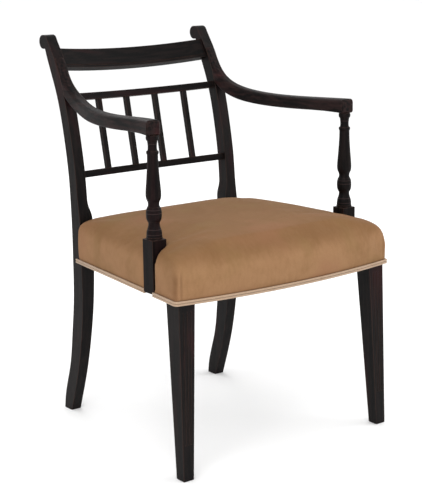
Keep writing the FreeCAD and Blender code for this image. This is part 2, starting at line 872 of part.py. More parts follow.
def strap_level(layer):
    """Underside of a layer of straps on the rails: 0 runs front to back, 1 from side to side."""
    return RAIL_TOP.value + layer * (size("strap_thickness") + size("cloth_gap"))


def long_straps():
    """Middle, front end and rear end of each strap from front to back."""
    front = FRONT_RAIL_FRONT.value + size("strap_end_margin")
    rear = REAR_RAIL_REAR.value - size("strap_end_margin")
    half = SEAT_BLOCK_INNER.value
    return [(share * half, front, rear) for share in LONG_STRAP_SHARES]


def cross_straps():
    """Middle and half length of each strap from side to side."""
    first = LEG_REAR.value
    span = SEAT_FACE.value - first
    straps = []
    for share in CROSS_STRAP_SHARES:
        middle = first + share * span
        edge = Dim.wrap(middle + size("strap_width") / 2)
        straps.append((middle, rail_outer(edge).value - size("strap_end_margin")))
    return straps


def webbing_tack_tops():
    """Top points of the tacks at both ends of every strap, with the layer of each."""
    tops = []
    spread = size("tack_pitch") / 2
    inset = size("strap_end_margin")
    for middle, front, rear in long_straps():
        for back in (front + inset, rear - inset):
            for across in (middle - spread, middle + spread):
                tops.append((Vector(across, back, strap_level(0) + size("strap_thickness")), 0))
    for middle, half in cross_straps():
        for across in (-half + inset, half - inset):
            for back in (middle - spread, middle + spread):
                tops.append((Vector(across, back, strap_level(1) + size("strap_thickness")), 1))
    return tops


def bottom_cloth_corners():
    """Plan corners of the cloth under the seat frame, clear of the legs and uprights."""
    margin = dim("bottom_cloth_margin")
    gap = dim("corner_block_gap")
    return [
        (LEG_INNER - gap, FRONT_RAIL_FRONT + margin),
        (LEG_INNER - gap, LEG_REAR + gap),
        (rail_outer(LEG_REAR) - margin, LEG_REAR + gap),
        (rail_outer(SEAT_FACE) - margin, SEAT_FACE - gap),
        (SEAT_BLOCK_INNER - gap, SEAT_FACE - gap),
        (SEAT_BLOCK_INNER - gap, REAR_RAIL_REAR - margin),
    ]


def bottom_tack_tops():
    """Points under the rails where the bottom cloth is tacked."""
    level = size("rail_bottom") - size("bottom_cloth_thickness")
    front = (FRONT_RAIL_FRONT.value + FRONT_RAIL_REAR.value) / 2
    rear = (REAR_RAIL_FRONT.value + REAR_RAIL_REAR.value) / 2
    half = LEG_INNER.value
    tops = [Vector(share * half, front, level) for share in FRONT_TACK_SHARES]
    rear_half = SEAT_BLOCK_INNER.value
    tops += [Vector(share * rear_half, rear, level) for share in REAR_TACK_SHARES]
    start = LEG_REAR.value
    span = SEAT_FACE.value - start
    for share in SIDE_TACK_SHARES:
        back = start + share * span
        across = rail_outer(Dim.wrap(back)).value - size("side_rail_thickness") / 2
        tops += [Vector(side * across, back, level) for side in (LEFT, RIGHT)]
    return tops


def tack_holes(low, high):
    """Holes of the tacks whose points lie over a plan box."""
    gap = size("screw_gap")
    up = Vector(0, 0, 1)
    down = Vector(0, 0, -1)
    picks = [(top, down) for top, layer in webbing_tack_tops()]
    picks += [(top, up) for top in bottom_tack_tops()]
    return [
        tack(top, way, gap)
        for top, way in picks
        if low[0] < top.x < high[0] and low[1] < top.y < high[1]
    ]


def cross_rail_holes(end):
    """Screw and tack holes of the front or rear rail."""
    gap = size("screw_gap")
    reach = size("leg_outer")
    if end == "front":
        low, high = (-reach, -reach), (reach, FRONT_RAIL_REAR.value)
    else:
        low, high = (-reach, REAR_RAIL_FRONT.value), (reach, REAR_RAIL_REAR.value)
    holes = [block_screws(end, side, gap)[0] for side in (LEFT, RIGHT)]
    return holes + tack_holes(low, high)


def side_rail_holes(side):
    """Screw and tack holes of a side rail."""
    gap = size("screw_gap")
    inner = UPRIGHT_INNER.value
    outer = size("leg_outer") + size("overrun")
    low_x, high_x = sorted((side * inner, side * outer))
    low = (low_x, LEG_REAR.value)
    high = (high_x, SEAT_FACE.value)
    holes = [block_screws(end, side, gap)[1] for end in ("front", "rear")]
    return holes + strut_screws(side, gap) + tack_holes(low, high)


def make_front_leg(side):
    """A square leg that tapers to its foot, mortised for the front rail and the side rail."""
    label = f"front_leg_{SIDE_NAMES[side]}"
    body = new_body(label + "_body")
    foot_inner = dim("foot_outer") - dim("foot_width")
    sections = []
    for name, inset, lift in (
        ("sole", dim("foot_bevel"), None),
        ("foot", Dim.wrap(0), dim("foot_bevel")),
    ):
        corners = [
            ((dim("foot_outer") - inset) * side, inset),
            ((dim("foot_outer") - inset) * side, dim("foot_depth") - inset),
            ((foot_inner + inset) * side, dim("foot_depth") - inset),
            ((foot_inner + inset) * side, inset),
        ]
        sections.append(outline(body, "XY_Plane", f"{label}_{name}", corners, lift))
    head_corners = [
        (dim("leg_outer") * side, dim("leg_front")),
        (dim("leg_outer") * side, LEG_REAR),
        (LEG_INNER * side, LEG_REAR),
        (LEG_INNER * side, dim("leg_front")),
    ]
    sections.append(outline(body, "XY_Plane", label + "_head", head_corners, dim("rail_bottom")))
    loft = body.newObject("PartDesign::AdditiveLoft", label + "_taper")
    loft.Profile = sections[0]
    loft.Sections = sections[1:]
    loft.Ruled = True
    box_feature(
        body,
        label + "_block",
        (LEG_INNER * side, dim("leg_front"), dim("rail_bottom")),
        (dim("leg_outer") * side, LEG_REAR, RAIL_TOP),
    )
    gap = dim("glue_gap")
    middle = FRONT_RAIL_FRONT + dim("front_rail_thickness") / 2
    half = dim("tenon_thickness") / 2 + gap
    box_feature(
        body,
        label + "_front_mortise",
        ((LEG_INNER - dim("overrun")) * side, middle - half, TENON_BOTTOM - gap),
        (
            (LEG_INNER + dim("tenon_length") + gap) * side,
            middle + half,
            TENON_BOTTOM + TENON_HEIGHT + gap,
        ),
        cut=True,
    )
    corners = [(x * side, y) for x, y in side_tenon_corners("front", gap)]
    mortise = outline(body, "XY_Plane", label + "_side_mortise", corners, TENON_BOTTOM - gap)
    pocket(body, label + "_side_pocket", mortise, TENON_HEIGHT + gap * 2)
    for share in GROOVE_SHARES:
        ends = []
        for level in (size("groove_bottom"), size("rail_bottom") - size("groove_top_margin")):
            rise = level / size("rail_bottom")
            outer = size("foot_outer") + (size("leg_outer") - size("foot_outer")) * rise
            wide = size("foot_width") + (size("leg_width") - size("foot_width")) * rise
            out = size("groove_radius") - size("groove_depth")
            ends.append(Vector(side * (outer - wide * share), size("leg_front") * rise - out, level))
        line = ends[1] - ends[0]
        groove = body.newObject("PartDesign::SubtractiveCylinder", f"{label}_groove")
        bind(groove, "Radius", dim("groove_radius"))
        groove.Height = line.Length
        groove.Placement = Placement(ends[0], Rotation(Vector(0, 0, 1), line))
    return finish(body, label)


def make_front_rail():
    """The bow-fronted rail between the front legs."""
    body = new_body("front_rail_body")
    plan = outline(
        body,
        "XY_Plane",
        "front_rail_plan",
        [
            (LEG_INNER, FRONT_RAIL_FRONT),
            (LEG_INNER, FRONT_RAIL_REAR),
            (-LEG_INNER, FRONT_RAIL_REAR),
            (-LEG_INNER, FRONT_RAIL_FRONT),
        ],
        dim("rail_bottom"),
        {3: dim("front_rail_bow")},
    )
    pad(body, "front_rail_pad", plan, dim("rail_height"))
    middle = FRONT_RAIL_FRONT + dim("front_rail_thickness") / 2
    half = dim("tenon_thickness") / 2
    reach = LEG_INNER + dim("tenon_length")
    box_feature(
        body,
        "front_rail_tenons",
        (-reach, middle - half, TENON_BOTTOM),
        (reach, middle + half, TENON_BOTTOM + TENON_HEIGHT),
    )
    return drilled("front_seat_rail", body, cross_rail_holes("front"))


def make_rear_rail():
    """The straight rail between the back uprights."""
    body = new_body("rear_rail_body")
    box_feature(
        body,
        "rear_rail_board",
        (-SEAT_BLOCK_INNER, REAR_RAIL_FRONT, dim("rail_bottom")),
        (SEAT_BLOCK_INNER, REAR_RAIL_REAR, RAIL_TOP),
    )
    low, high = rear_tenon_span()
    reach = SEAT_BLOCK_INNER + dim("tenon_length") / 2
    box_feature(
        body,
        "rear_rail_tenons",
        (-reach, low, TENON_BOTTOM),
        (reach, high, TENON_BOTTOM + TENON_HEIGHT),
    )
    return drilled("rear_seat_rail", body, cross_rail_holes("rear"))


def rear_tenon_span(gap=0.0):
    """Front and rear of the rear rail's tenon."""
    middle = REAR_RAIL_FRONT + dim("rear_rail_thickness") / 2
    half = dim("tenon_thickness") / 2 + gap
    return middle - half, middle + half


def make_side_rail(side):
    """A side rail from leg to upright, housed on its outer face for the arm's strut."""
    label = f"side_seat_rail_{SIDE_NAMES[side]}"
    body = new_body(label + "_body")
    thick = dim("side_rail_thickness")
    plan = outline(
        body,
        "XY_Plane",
        label + "_plan",
        [
            (dim("leg_outer") * side, LEG_REAR),
            (dim("upright_outer") * side, SEAT_FACE),
            ((dim("upright_outer") - thick) * side, SEAT_FACE),
            ((dim("leg_outer") - thick) * side, LEG_REAR),
        ],
        dim("rail_bottom"),
    )
    pad(body, label + "_pad", plan, dim("rail_height"))
    corners = [(x * side, y) for x, y in side_tenon_corners("both", Dim.wrap(0))]
    strip = outline(body, "XY_Plane", label + "_tenons", corners, TENON_BOTTOM)
    pad(body, label + "_tenon_pad", strip, TENON_HEIGHT)
    gap = dim("glue_gap")
    half = dim("block_width") / 2
    strut_inner = POST_MIDDLE + half - dim("strut_thickness")
    box_feature(
        body,
        label + "_housing",
        (
            (strut_inner - gap) * side,
            POST_BACK - half - gap,
            STRUT_BOTTOM - gap,
        ),
        (
            (dim("leg_outer") + dim("overrun")) * side,
            POST_BACK + half + gap,
            RAIL_TOP + dim("overrun"),
        ),
        cut=True,
    )
    return drilled(label, body, side_rail_holes(side))


def make_corner_block(end, side):
    """A glue block screwed into an inner corner of the seat frame."""
    label = f"corner_block_{end}_{SIDE_NAMES[side]}"
    body = new_body(label + "_body")
    corners = [(x * side, y) for x, y in corner_block_corners(end)]
    bottom = dim("rail_bottom") + dim("corner_block_rise")
    plan = outline(body, "XY_Plane", label + "_plan", corners, bottom)
    pad(body, label + "_pad", plan, dim("corner_block_height"))
    return drilled(label, body, block_screws(end, side, size("screw_gap")))


def make_upright(side):
    """Stile and rear leg in one piece, rolled back at the top and mortised for its rails."""
    outer = size("upright_outer")
    inner = SEAT_BLOCK_INNER.value
    shape = upright_blank(inner, outer)
    for waste in inner_waste():
        shape = shape.cut(waste)
    shape = shape.removeSplitter()
    gap = size("glue_gap")
    low, high = rear_tenon_span(gap)
    cutters = [
        crest_tenon(gap),
        lattice_tenon("top", gap),
        lattice_tenon("bottom", gap),
        arm_tenon(gap),
        plan_prism(
            side_tenon_corners("rear", Dim.wrap(gap)),
            TENON_BOTTOM.value - gap,
            (TENON_BOTTOM + TENON_HEIGHT).value + gap,
        ),
        solid_box(
            (inner - size("overrun"), low.value, TENON_BOTTOM.value - gap),
            (
                inner + size("tenon_length") / 2 + gap,
                high.value,
                (TENON_BOTTOM + TENON_HEIGHT).value + gap,
            ),
        ),
    ]
    seat, way = arm_screw_line()
    cutters.append(screw(seat, way, size("arm_screw_length"), size("screw_gap")))
    cutters.append(
        Part.makeCylinder(
            size("plug_radius") + size("plug_gap"),
            size("plug_length") + size("overrun"),
            seat,
            Vector(0, 1, 0),
        )
    )
    for cutter in cutters:
        shape = shape.cut(cutter)
    return shape_node(f"back_upright_{SIDE_NAMES[side]}", mirrored(shape, side))


def make_crest_rail():
    """The bowed board across the top, with a tenon at each end and a quirk over its lower edge."""
    half = UPRIGHT_INNER.value
    bow = size("crest_bow")
    board = bowed_board(half, size("crest_thickness"), size("crest_height"), bow)
    ahead = size("overrun")
    quirk = bowed_board(half, ahead + size("bead_depth"), size("quirk_height"), bow)
    quirk.translate(Vector(0, -ahead, size("crest_bead_height")))
    board = board.cut(quirk)
    board.Placement = crest_frame()
    tenon = crest_tenon()
    shape = board.fuse([tenon, mirrored(tenon, LEFT)]).removeSplitter()
    return shape_node("crest_rail", shape)


def bar_places():
    """Half width, foot point and head point of each lattice bar's middle line."""
    half = UPRIGHT_INNER.value
    tall = size("lattice_rail_height")
    middle = size("lattice_rail_thickness") / 2
    top = lattice_frame("top")
    bottom = lattice_frame("bottom")
    places = []
    for count in range(BAR_COUNT):
        across = size("bar_pitch") * (count - (BAR_COUNT - 1) / 2)
        sag = size("lattice_bow") * (1 - (across / half) ** 2)
        foot = bottom.multVec(Vector(across, middle + sag, tall))
        head = top.multVec(Vector(across, middle + sag, 0))
        places.append((foot, head))
    return places


def bar_core(foot, head, shoulder, reach):
    """A square stick along a bar's middle line, made thinner by a shoulder, longer by a reach."""
    line = head - foot
    wide = size("bar_width") - shoulder * 2
    deep = size("bar_thickness") - shoulder * 2
    stick = Part.makeBox(wide, deep, line.Length + reach * 2, Vector(-wide / 2, -deep / 2, -reach))
    lean = math.degrees(math.atan2(line.y, line.z))
    stick.Placement = Placement(foot, Rotation(Vector(1, 0, 0), -lean))
    return stick


def make_lattice():
    """Two thin rails and the bars tenoned between them."""
    half = UPRIGHT_INNER.value
    deep = size("lattice_rail_thickness")
    tall = size("lattice_rail_height")
    gap = size("glue_gap")
    shoulder = size("bar_tenon_shoulder")
    reach = size("bar_tenon_length")
    boards = {}
    for which in ("top", "bottom"):
        board = bowed_board(half, deep, tall, size("lattice_bow"))
        board.Placement = lattice_frame(which)
        boards[which] = board
    waste = {}
    for which, level in (("top", 0.0), ("bottom", -deep * 2)):
        slab = solid_box((-half, -deep * 2, level), (half, deep * 4, level + tall + deep * 2))
        slab.Placement = lattice_frame(which)
        waste[which] = slab
    for count, (foot, head) in enumerate(bar_places(), start=1):
        bar = bar_core(foot, head, 0.0, reach)
        bar = bar.cut(waste["top"]).cut(waste["bottom"])
        bar = bar.fuse(bar_core(foot, head, shoulder, reach)).removeSplitter()
        shape_node(f"lattice_bar_{count}", bar)
    for which, board in boards.items():
        tenon = lattice_tenon(which)
        rail = board.fuse([tenon, mirrored(tenon, LEFT)]).removeSplitter()
        for foot, head in bar_places():
            rail = rail.cut(bar_core(foot, head, shoulder - gap, reach + gap))
        shape_node(f"lattice_{which}_rail", rail)


def arm_section(place, ahead, outer, top, thickness, width, bevel=0.0):
    """A rounded cross-section of the arm, square to its run, given its outer and top lines."""
    run = Vector(0, ahead.y, ahead.z).normalize()
    down = Vector(0, run.z, -run.y)
    across = Vector(-1, 0, 0)
    start = Vector(outer, place, top) + (across + down) * bevel
    wide = width - bevel * 2
    tall = thickness - bevel * 2
    upper = size("arm_top_round")
    lower = size("arm_bottom_round")
    keep = 1 - math.sqrt(0.5)

    def at(right, under):
        return start + across * right + down * under

    points = [
        (at(upper, 0), at(wide - upper, 0), None),
        (at(wide - upper, 0), at(wide, upper), at(wide - upper * keep, upper * keep)),
        (at(wide, upper), at(wide, tall - lower), None),
        (at(wide, tall - lower), at(wide - lower, tall), at(wide - lower * keep, tall - lower * keep)),
        (at(wide - lower, tall), at(lower, tall), None),
        (at(lower, tall), at(0, tall - lower), at(lower * keep, tall - lower * keep)),
        (at(0, tall - lower), at(0, upper), None),
        (at(0, upper), at(upper, 0), at(upper * keep, upper * keep)),
    ]
    edges = []
    for first, last, middle in points:
        if middle is None:
            edges.append(Part.makeLine(first, last))
        else:
            edges.append(Part.Arc(first, middle, last).toShape())
    return Part.Wire(edges)


def arm_places():
    """Outer top corner and thickness of the arm at each station, from its front end to its tip."""
    outer = size("upright_outer")
    reach = POST_OUTER.value - outer
    run = SCROLL_REAR.value - ARM_END.value
    return [
        (
            Vector(
                outer + reach * out, ARM_END.value + run * back, ARM_TOP.value + ARM_LIFT.value * up
            ),
            size("arm_thickness") * thick,
        )
        for back, out, up, thick in ARM_SHARES
    ]


def arm_blank():
    """The arm as one loft, from its front end up into the upright."""
    stations = arm_places()
    places = [place for place, thickness in stations]
    run = places[len(ARM_SWEEP_SHARES)].y - places[0].y
    wires = []
    for index, (place, thickness) in enumerate(stations):
        before = places[max(index - 1, 0)]
        after = places[min(index + 1, len(places) - 1)]
        share = min((place.y - places[0].y) / run, 1)
        width = size("block_width") + (size("upright_width") - size("block_width")) * share
        if index == 0:
            ahead = Vector(0, 1, 0)
        else:
            ahead = after - before
        wires.append(arm_section(place.y, ahead, place.x, place.z, thickness, width))
    blank = Part.makeLoft(wires, True, False)
    face = min(blank.Faces, key=lambda item: item.CenterOfMass.y)
    return blank.makeChamfer(size("arm_end_bevel"), face.Edges)


def arm_underside():
    """Height of the arm's underside over the post."""
    place, thickness = arm_places()[0]
    return place.z - thickness


def make_arm(side):
    """An arm that sweeps down from its upright and lies on its turned post."""
    outer = size("upright_outer")
    gap = size("glue_gap")
    blank = arm_blank()
    far = outer + size("overrun")
    near = SEAT_BLOCK_INNER.value - size("overrun")
    shape = blank.cut(upright_blank(near, far, size("curved_gap")))
    solids = sorted(shape.Solids, key=lambda item: item.Volume)
    shape = solids[-1]
    tenon = arm_tenon()
    reach = front_at(ARM_TENON_LEVEL.value) - gap * 2
    slab = solid_box(
        (near, reach - size("arm_tenon_length"), tenon.BoundBox.ZMin),
        (far, reach, tenon.BoundBox.ZMax),
    )
    shape = shape.fuse(tenon.common(slab.fuse(tenon).removeSplitter())).removeSplitter()
    bed = POST_MIDDLE.value
    level = arm_underside()
    flat = Part.makeBox(
        size("block_width") + size("overrun") * 2,
        size("block_width") + size("overrun"),
        size("overrun"),
        Vector(
            bed - size("block_width") / 2 - size("overrun"),
            ARM_END.value - size("overrun"),
            level - size("overrun"),
        ),
    )
    root = arm_places()[len(ARM_SWEEP_SHARES)][0]
    flush = solid_box(
        (near, root.y, level), (UPRIGHT_INNER.value, SCROLL_REAR.value, SCROLL_TOP.value)
    )
    shape = shape.cut(flat).cut(flush)
    pin = Part.makeCylinder(
        size("post_pin_radius") + size("curved_gap"),
        size("post_pin_length") + gap + size("overrun"),
        Vector(bed, POST_BACK.value, level - size("overrun")),
    )
    seat, way = arm_screw_line()
    hole = screw(seat, way, size("arm_screw_length"), size("screw_gap"))
    shape = shape.cut(pin).cut(hole)
    return shape_node(f"arm_{SIDE_NAMES[side]}", mirrored(shape, side))


def post_outline():
    """Half section of the turned post, as runs of points that are straight or curved."""
    top = arm_underside()
    bead = size("bead_depth")
    quirk = size("quirk_height")
    ring = size("ring_radius") - bead
    under_ring = top - size("ring_height")
    cove = size("cove_radius")
    cove_top = under_ring - quirk
    cove_foot = cove_top - size("cove_height")
    collar = size("collar_radius") - bead
    collar_foot = cove_foot - size("collar_height")
    shaft = size("shaft_radius")
    swell = size("shaft_swell")
    shaft_top = collar_foot - quirk
    foot = BLOCK_TOP.value
    levels = [foot + (top - foot) * share for share in POST_LEVEL_SHARES]
    belly, waist_level, bulb_level, neck_level = levels
    waist = size("waist_radius")
    bulb = size("bulb_radius")
    half = size("bulb_half_height")
    neck = size("lower_neck_radius")
    bell = size("bell_radius")
    shoulder = foot + size("bell_shoulder")
    step = foot + size("bell_foot")
    pin = size("post_pin_radius")
    pin_top = top + size("post_pin_length")
    long = shaft_top - belly
    short = belly - waist_level
    step_out = bead * STEP_SHARE
    brow = bead * BULB_EDGE_SHARES[0]
    jaw = bead * BULB_EDGE_SHARES[1]
    cheek = bead * BULB_CHEEK_SHARES[0]
    return [
        ("straight", [(0, pin_top), (pin, pin_top), (pin, top), (ring, top)]),
        ("curved", [(ring, top), (ring + bead, (top + under_ring) / 2), (ring, under_ring)]),
        ("straight", [(ring, under_ring), (ring - bead * 2, cove_top)]),
        (
            "curved",
            [
                (ring - bead * 2, cove_top),
                (cove + bead / 2, cove_top + (cove_foot - cove_top) * COVE_SHARES[0]),
                (cove, cove_top + (cove_foot - cove_top) * COVE_SHARES[1]),
                (cove + step_out, cove_foot),
            ],
        ),
        ("straight", [(cove + step_out, cove_foot), (collar, cove_foot)]),
        (
            "curved",
            [(collar, cove_foot), (collar + bead, (cove_foot + collar_foot) / 2), (collar, collar_foot)],
        ),
        ("straight", [(collar, collar_foot), (shaft, shaft_top)]),
        (
            "curved",
            [
                (shaft, shaft_top),
                *[(shaft + (swell - shaft) * out, belly + long * up) for out, up in SHAFT_SHARES],
                (swell, belly),
                *[(waist + (swell - waist) * out, waist_level + short * up) for out, up in WAIST_SHARES],
                (waist, waist_level),
                (waist + step_out, bulb_level + half),
            ],
        ),
        ("straight", [(waist + step_out, bulb_level + half), (bulb - brow, bulb_level + half)]),
        (
            "curved",
            [
                (bulb - brow, bulb_level + half),
                (bulb - cheek, bulb_level + half * BULB_CHEEK_SHARES[1]),
                (bulb, bulb_level),
                (bulb - cheek, bulb_level - half * BULB_CHEEK_SHARES[1]),
                (bulb - jaw, bulb_level - half),
            ],
        ),
        ("straight", [(bulb - jaw, bulb_level - half), (neck + bead, bulb_level - half)]),
        (
            "curved",
            [
                (neck + bead, bulb_level - half),
                (neck, neck_level),
                (neck + bead * NECK_SHARES[0], neck_level - (neck_level - shoulder) * NECK_SHARES[1]),
                (bell - bead * BELL_SHARES[0], shoulder),
                (bell - bead * BELL_SHARES[1], (shoulder + step) / 2),
                (bell - bead * BELL_SHARES[2], step),
            ],
        ),
        (
            "straight",
            [
                (bell - bead * BELL_SHARES[2], step),
                (bell, step),
                (bell, foot),
                (0, foot),
                (0, pin_top),
            ],
        ),
    ]


def make_arm_support(side):
    """A turned post on a square block, whose strut is let into the side rail."""
    edges = []
    middle_x = POST_MIDDLE.value
    middle_y = POST_BACK.value
    for kind, run in post_outline():
        points = [Vector(middle_x + radius, middle_y, level) for radius, level in run]
        if kind == "curved":
            edges.append(spline(points))
        else:
            edges += [Part.makeLine(first, last) for first, last in zip(points, points[1:])]
    face = Part.Face(Part.Wire(edges))
    post = face.revolve(Vector(middle_x, middle_y, 0), Vector(0, 0, 1), 360)
    half = size("block_width") / 2
    outer = middle_x + half
    block = solid_box(
        (middle_x - half, middle_y - half, RAIL_TOP.value), (outer, middle_y + half, BLOCK_TOP.value)
    )
    strut = solid_box(
        (outer - size("strut_thickness"), middle_y - half, STRUT_BOTTOM.value),
        (outer, middle_y + half, RAIL_TOP.value),
    )
    shape = post.fuse([block, strut]).removeSplitter()
    toe = [
        edge
        for edge in shape.Edges
        if edge.BoundBox.ZMax < STRUT_BOTTOM.value + size("strut_bevel")
        and edge.BoundBox.XMin > outer - size("strut_bevel")
    ]
    shape = shape.makeChamfer(size("strut_bevel"), toe)
    for hole in strut_screws(RIGHT, size("screw_gap")):
        shape = shape.cut(hole)
    return shape_node(f"arm_support_{SIDE_NAMES[side]}", mirrored(shape, side))


def line_offset(inset):
    """A point and a direction on the seat's right side line, drawn in by an inset."""
    front = Vector(SEAT_HALF_FRONT.value, LEG_REAR.value, 0)
    rear = Vector(SEAT_HALF_REAR.value, SEAT_FACE.value, 0)
    along = (rear - front).normalize()
    outward = Vector(along.y, -along.x, 0)
    return front - outward * inset, along, outward


def seat_corners(inset, bend, draw=0.0):
    """Tangent points and middles of the right corners of the seat's plan, drawn in and rounded."""
    half = SEAT_FRONT_HALF.value
    bow = size("seat_bow")
    radius = (half * half + bow * bow) / (2 * bow)
    hub = Vector(0, SEAT_CORNER_FRONT.value - bow + radius, 0)
    start, along, outward = line_offset(inset + bend)
    reach = radius - inset - bend
    offset = start - hub
    back = offset.dot(along)
    step = -back - math.sqrt(back * back - offset.dot(offset) + reach * reach)
    front_hub = start + along * step
    away = (front_hub - hub).normalize()
    on_bow = hub + away * (radius - inset)
    on_side = front_hub + outward * bend
    front_mid = front_hub + (away + outward).normalize() * bend
    rear_line = SEAT_REAR.value - inset - draw * REAR_FALL_SHARE - bend
    rear_hub = start + along * ((rear_line - start.y) / along.y)
    straight = Vector(0, 1, 0)
    rear_side = rear_hub + outward * bend
    rear_mid = rear_hub + (straight + outward).normalize() * bend
    rear_back = rear_hub + straight * bend
    nose = Vector(0, hub.y - radius + inset, 0)
    return nose, (on_bow, front_mid, on_side), (rear_side, rear_mid, rear_back)


def seat_wire(inset, bend, level, draw):
    """The seat's plan outline at a height; the dome's draw counts more at the rear."""
    lift = Vector(0, 0, level)
    nose, front, rear = seat_corners(inset, bend, draw)

    def left(point):
        return Vector(-point.x, point.y, point.z)

    edges = [
        Part.Arc(left(front[0]) + lift, nose + lift, front[0] + lift),
        Part.Arc(front[0] + lift, front[1] + lift, front[2] + lift),
        Part.LineSegment(front[2] + lift, rear[0] + lift),
        Part.Arc(rear[0] + lift, rear[1] + lift, rear[2] + lift),
        Part.LineSegment(rear[2] + lift, left(rear[2]) + lift),
        Part.Arc(left(rear[2]) + lift, left(rear[1]) + lift, left(rear[0]) + lift),
        Part.LineSegment(left(rear[0]) + lift, left(front[2]) + lift),
        Part.Arc(left(front[2]) + lift, left(front[1]) + lift, left(front[0]) + lift),
    ]
    return Part.Wire([edge.toShape() for edge in edges])


def seat_form(inset, drop=0.0, deeper=0.0):
    """The domed seat as a solid, drawn in all round, lowered at the crown, deepened below."""
    bottom = SEAT_BOTTOM.value
    rise = SEAT_CROWN.value - bottom
    reach = DOME_REACH.value
    wires = []
    for level, draw, bend in zip(SEAT_LEVEL_SHARES, SEAT_INSET_SHARES, SEAT_BEND_SHARES):
        height = bottom + rise * level - drop * level
        if level == 0:
            height -= deeper
        drawn = max(reach * draw, 0.0) if level > 0.5 else 0.0
        wires.append(seat_wire(reach * draw + inset, reach * bend - inset, height, drawn))
    return Part.makeLoft(wires, True, True)


def seat_notches(gap):
    """What is cut out of the seat for the uprights and for the struts of the arms."""
    low = SEAT_BOTTOM.value - size("overrun")
    high = SEAT_CROWN.value + size("overrun")
    far = SEAT_FRONT_HALF.value + size("overrun")
    half = size("block_width") / 2 + gap
    inner_strut = POST_MIDDLE.value - half
    cutters = []
    for side in (LEFT, RIGHT):
        cutters.append(
            solid_box(
                (side * (SEAT_BLOCK_INNER.value - gap), SEAT_FACE.value - gap, low),
                (side * far, SEAT_REAR.value + size("overrun"), high),
            )
        )
        cutters.append(
            solid_box(
                (side * inner_strut, POST_BACK.value - half, low),
                (side * far, POST_BACK.value + half, high),
            )
        )
    return cutters


def stuffing_floor():
    """Level that the stuffing rests on: straps, tack heads and hessian."""
    return (
        strap_level(1)
        + size("strap_thickness")
        + size("tack_head_height")
        + size("cloth_gap") * 2
        + size("hessian_thickness")
    )


def hessian_level():
    return stuffing_floor() - size("hessian_thickness") - size("cloth_gap")


def frame_space():
    """The space that the rails and the leg heads take under the stuffing, with a gap all round."""
    gap = size("cloth_gap")
    low = SEAT_BOTTOM.value - size("overrun")
    outer = size("leg_outer") + gap
    rear_outer = rail_outer(REAR_RAIL_REAR).value + gap
    front = size("leg_front") - gap
    rear = REAR_RAIL_REAR.value + gap
    inner = LEG_INNER.value - gap
    step = FRONT_RAIL_FRONT.value - gap
    nose = Vector(0, step - size("front_rail_bow"), low)

    def at(side, across, back):
        return Vector(side * across, back, low)

    edges = [Part.Arc(at(LEFT, inner, step), nose, at(RIGHT, inner, step)).toShape()]
    for side in (LEFT, RIGHT):
        points = [
            at(side, inner, step),
            at(side, inner, front),
            at(side, outer, front),
            at(side, outer, LEG_REAR.value),
            at(side, rear_outer, rear),
        ]
        edges += [Part.makeLine(first, last) for first, last in zip(points, points[1:])]
    edges.append(Part.makeLine(at(LEFT, rear_outer, rear), at(RIGHT, rear_outer, rear)))
    face = Part.Face(Part.Wire(Part.__sortEdges__(edges)))
    return face.extrude(Vector(0, 0, stuffing_floor() - low))


def make_seat():
    """Stuffing and cover of the seat."""
    thick = size("cover_thickness")
    gap = size("cloth_gap")
    outer = seat_form(0.0)
    lining = seat_form(thick, thick, size("overrun"))
    cover = outer.cut(lining)
    for cutter in seat_notches(size("notch_gap")):
        cover = cover.cut(cutter)
    core = seat_form(thick + gap, thick + gap)
    stuffing = core.cut(frame_space())
    for cutter in seat_notches(size("notch_gap") + gap):
        stuffing = stuffing.cut(cutter)
    shape_node("seat_stuffing", stuffing)
    shape_node("seat_cover", cover)


def cord(edges):
    """A round cord along a smooth wire."""
    wire = Part.Wire([edge.toShape() for edge in edges])
    first = wire.Edges[0]
    start = first.valueAt(first.FirstParameter)
    way = first.tangentAt(first.FirstParameter)
    ring = Part.Wire(Part.makeCircle(size("piping_radius"), start, way))
    return wire.makePipeShell([ring], True, True)


def make_piping():
    """Two cords one above the other round the cover's lower edge, broken at the struts."""
    inset = PIPING_INSET.value
    radius = size("piping_radius")
    gap = size("notch_gap")
    half = size("block_width") / 2 + gap
    bend = DOME_REACH.value * SEAT_BEND_SHARES[0] + FOOT_INSET.value - inset
    nose, front, rear = seat_corners(inset, bend)
    start, along, outward = line_offset(inset)
    strut_front = start + along * ((POST_BACK.value - half - start.y) / along.y)
    strut_rear = start + along * ((POST_BACK.value + half - start.y) / along.y)
    stop = start + along * ((SEAT_FACE.value - gap - start.y) / along.y)

    def left(point):
        return Vector(-point.x, point.y, point.z)

    cords = []
    for count in (0, 1):
        level = SEAT_BOTTOM.value + radius + count * (radius * 2 + size("cloth_gap"))
        lift = Vector(0, 0, level)
        cords.append(
            cord(
                [
                    Part.LineSegment(left(strut_front) + lift, left(front[2]) + lift),
                    Part.Arc(left(front[2]) + lift, left(front[1]) + lift, left(front[0]) + lift),
                    Part.Arc(left(front[0]) + lift, nose + lift, front[0] + lift),
                    Part.Arc(front[0] + lift, front[1] + lift, front[2] + lift),
                    Part.LineSegment(front[2] + lift, strut_front + lift),
                ]
            )
        )
        for first, last in ((strut_rear, stop), (left(strut_rear), left(stop))):
            cords.append(cord([Part.LineSegment(first + lift, last + lift)]))
        back = Vector(SEAT_BLOCK_INNER.value - gap, SEAT_REAR.value - inset, level)
        cords.append(cord([Part.LineSegment(Vector(-back.x, back.y, back.z), back)]))
    shape_node("double_piping", Part.makeCompound(cords))


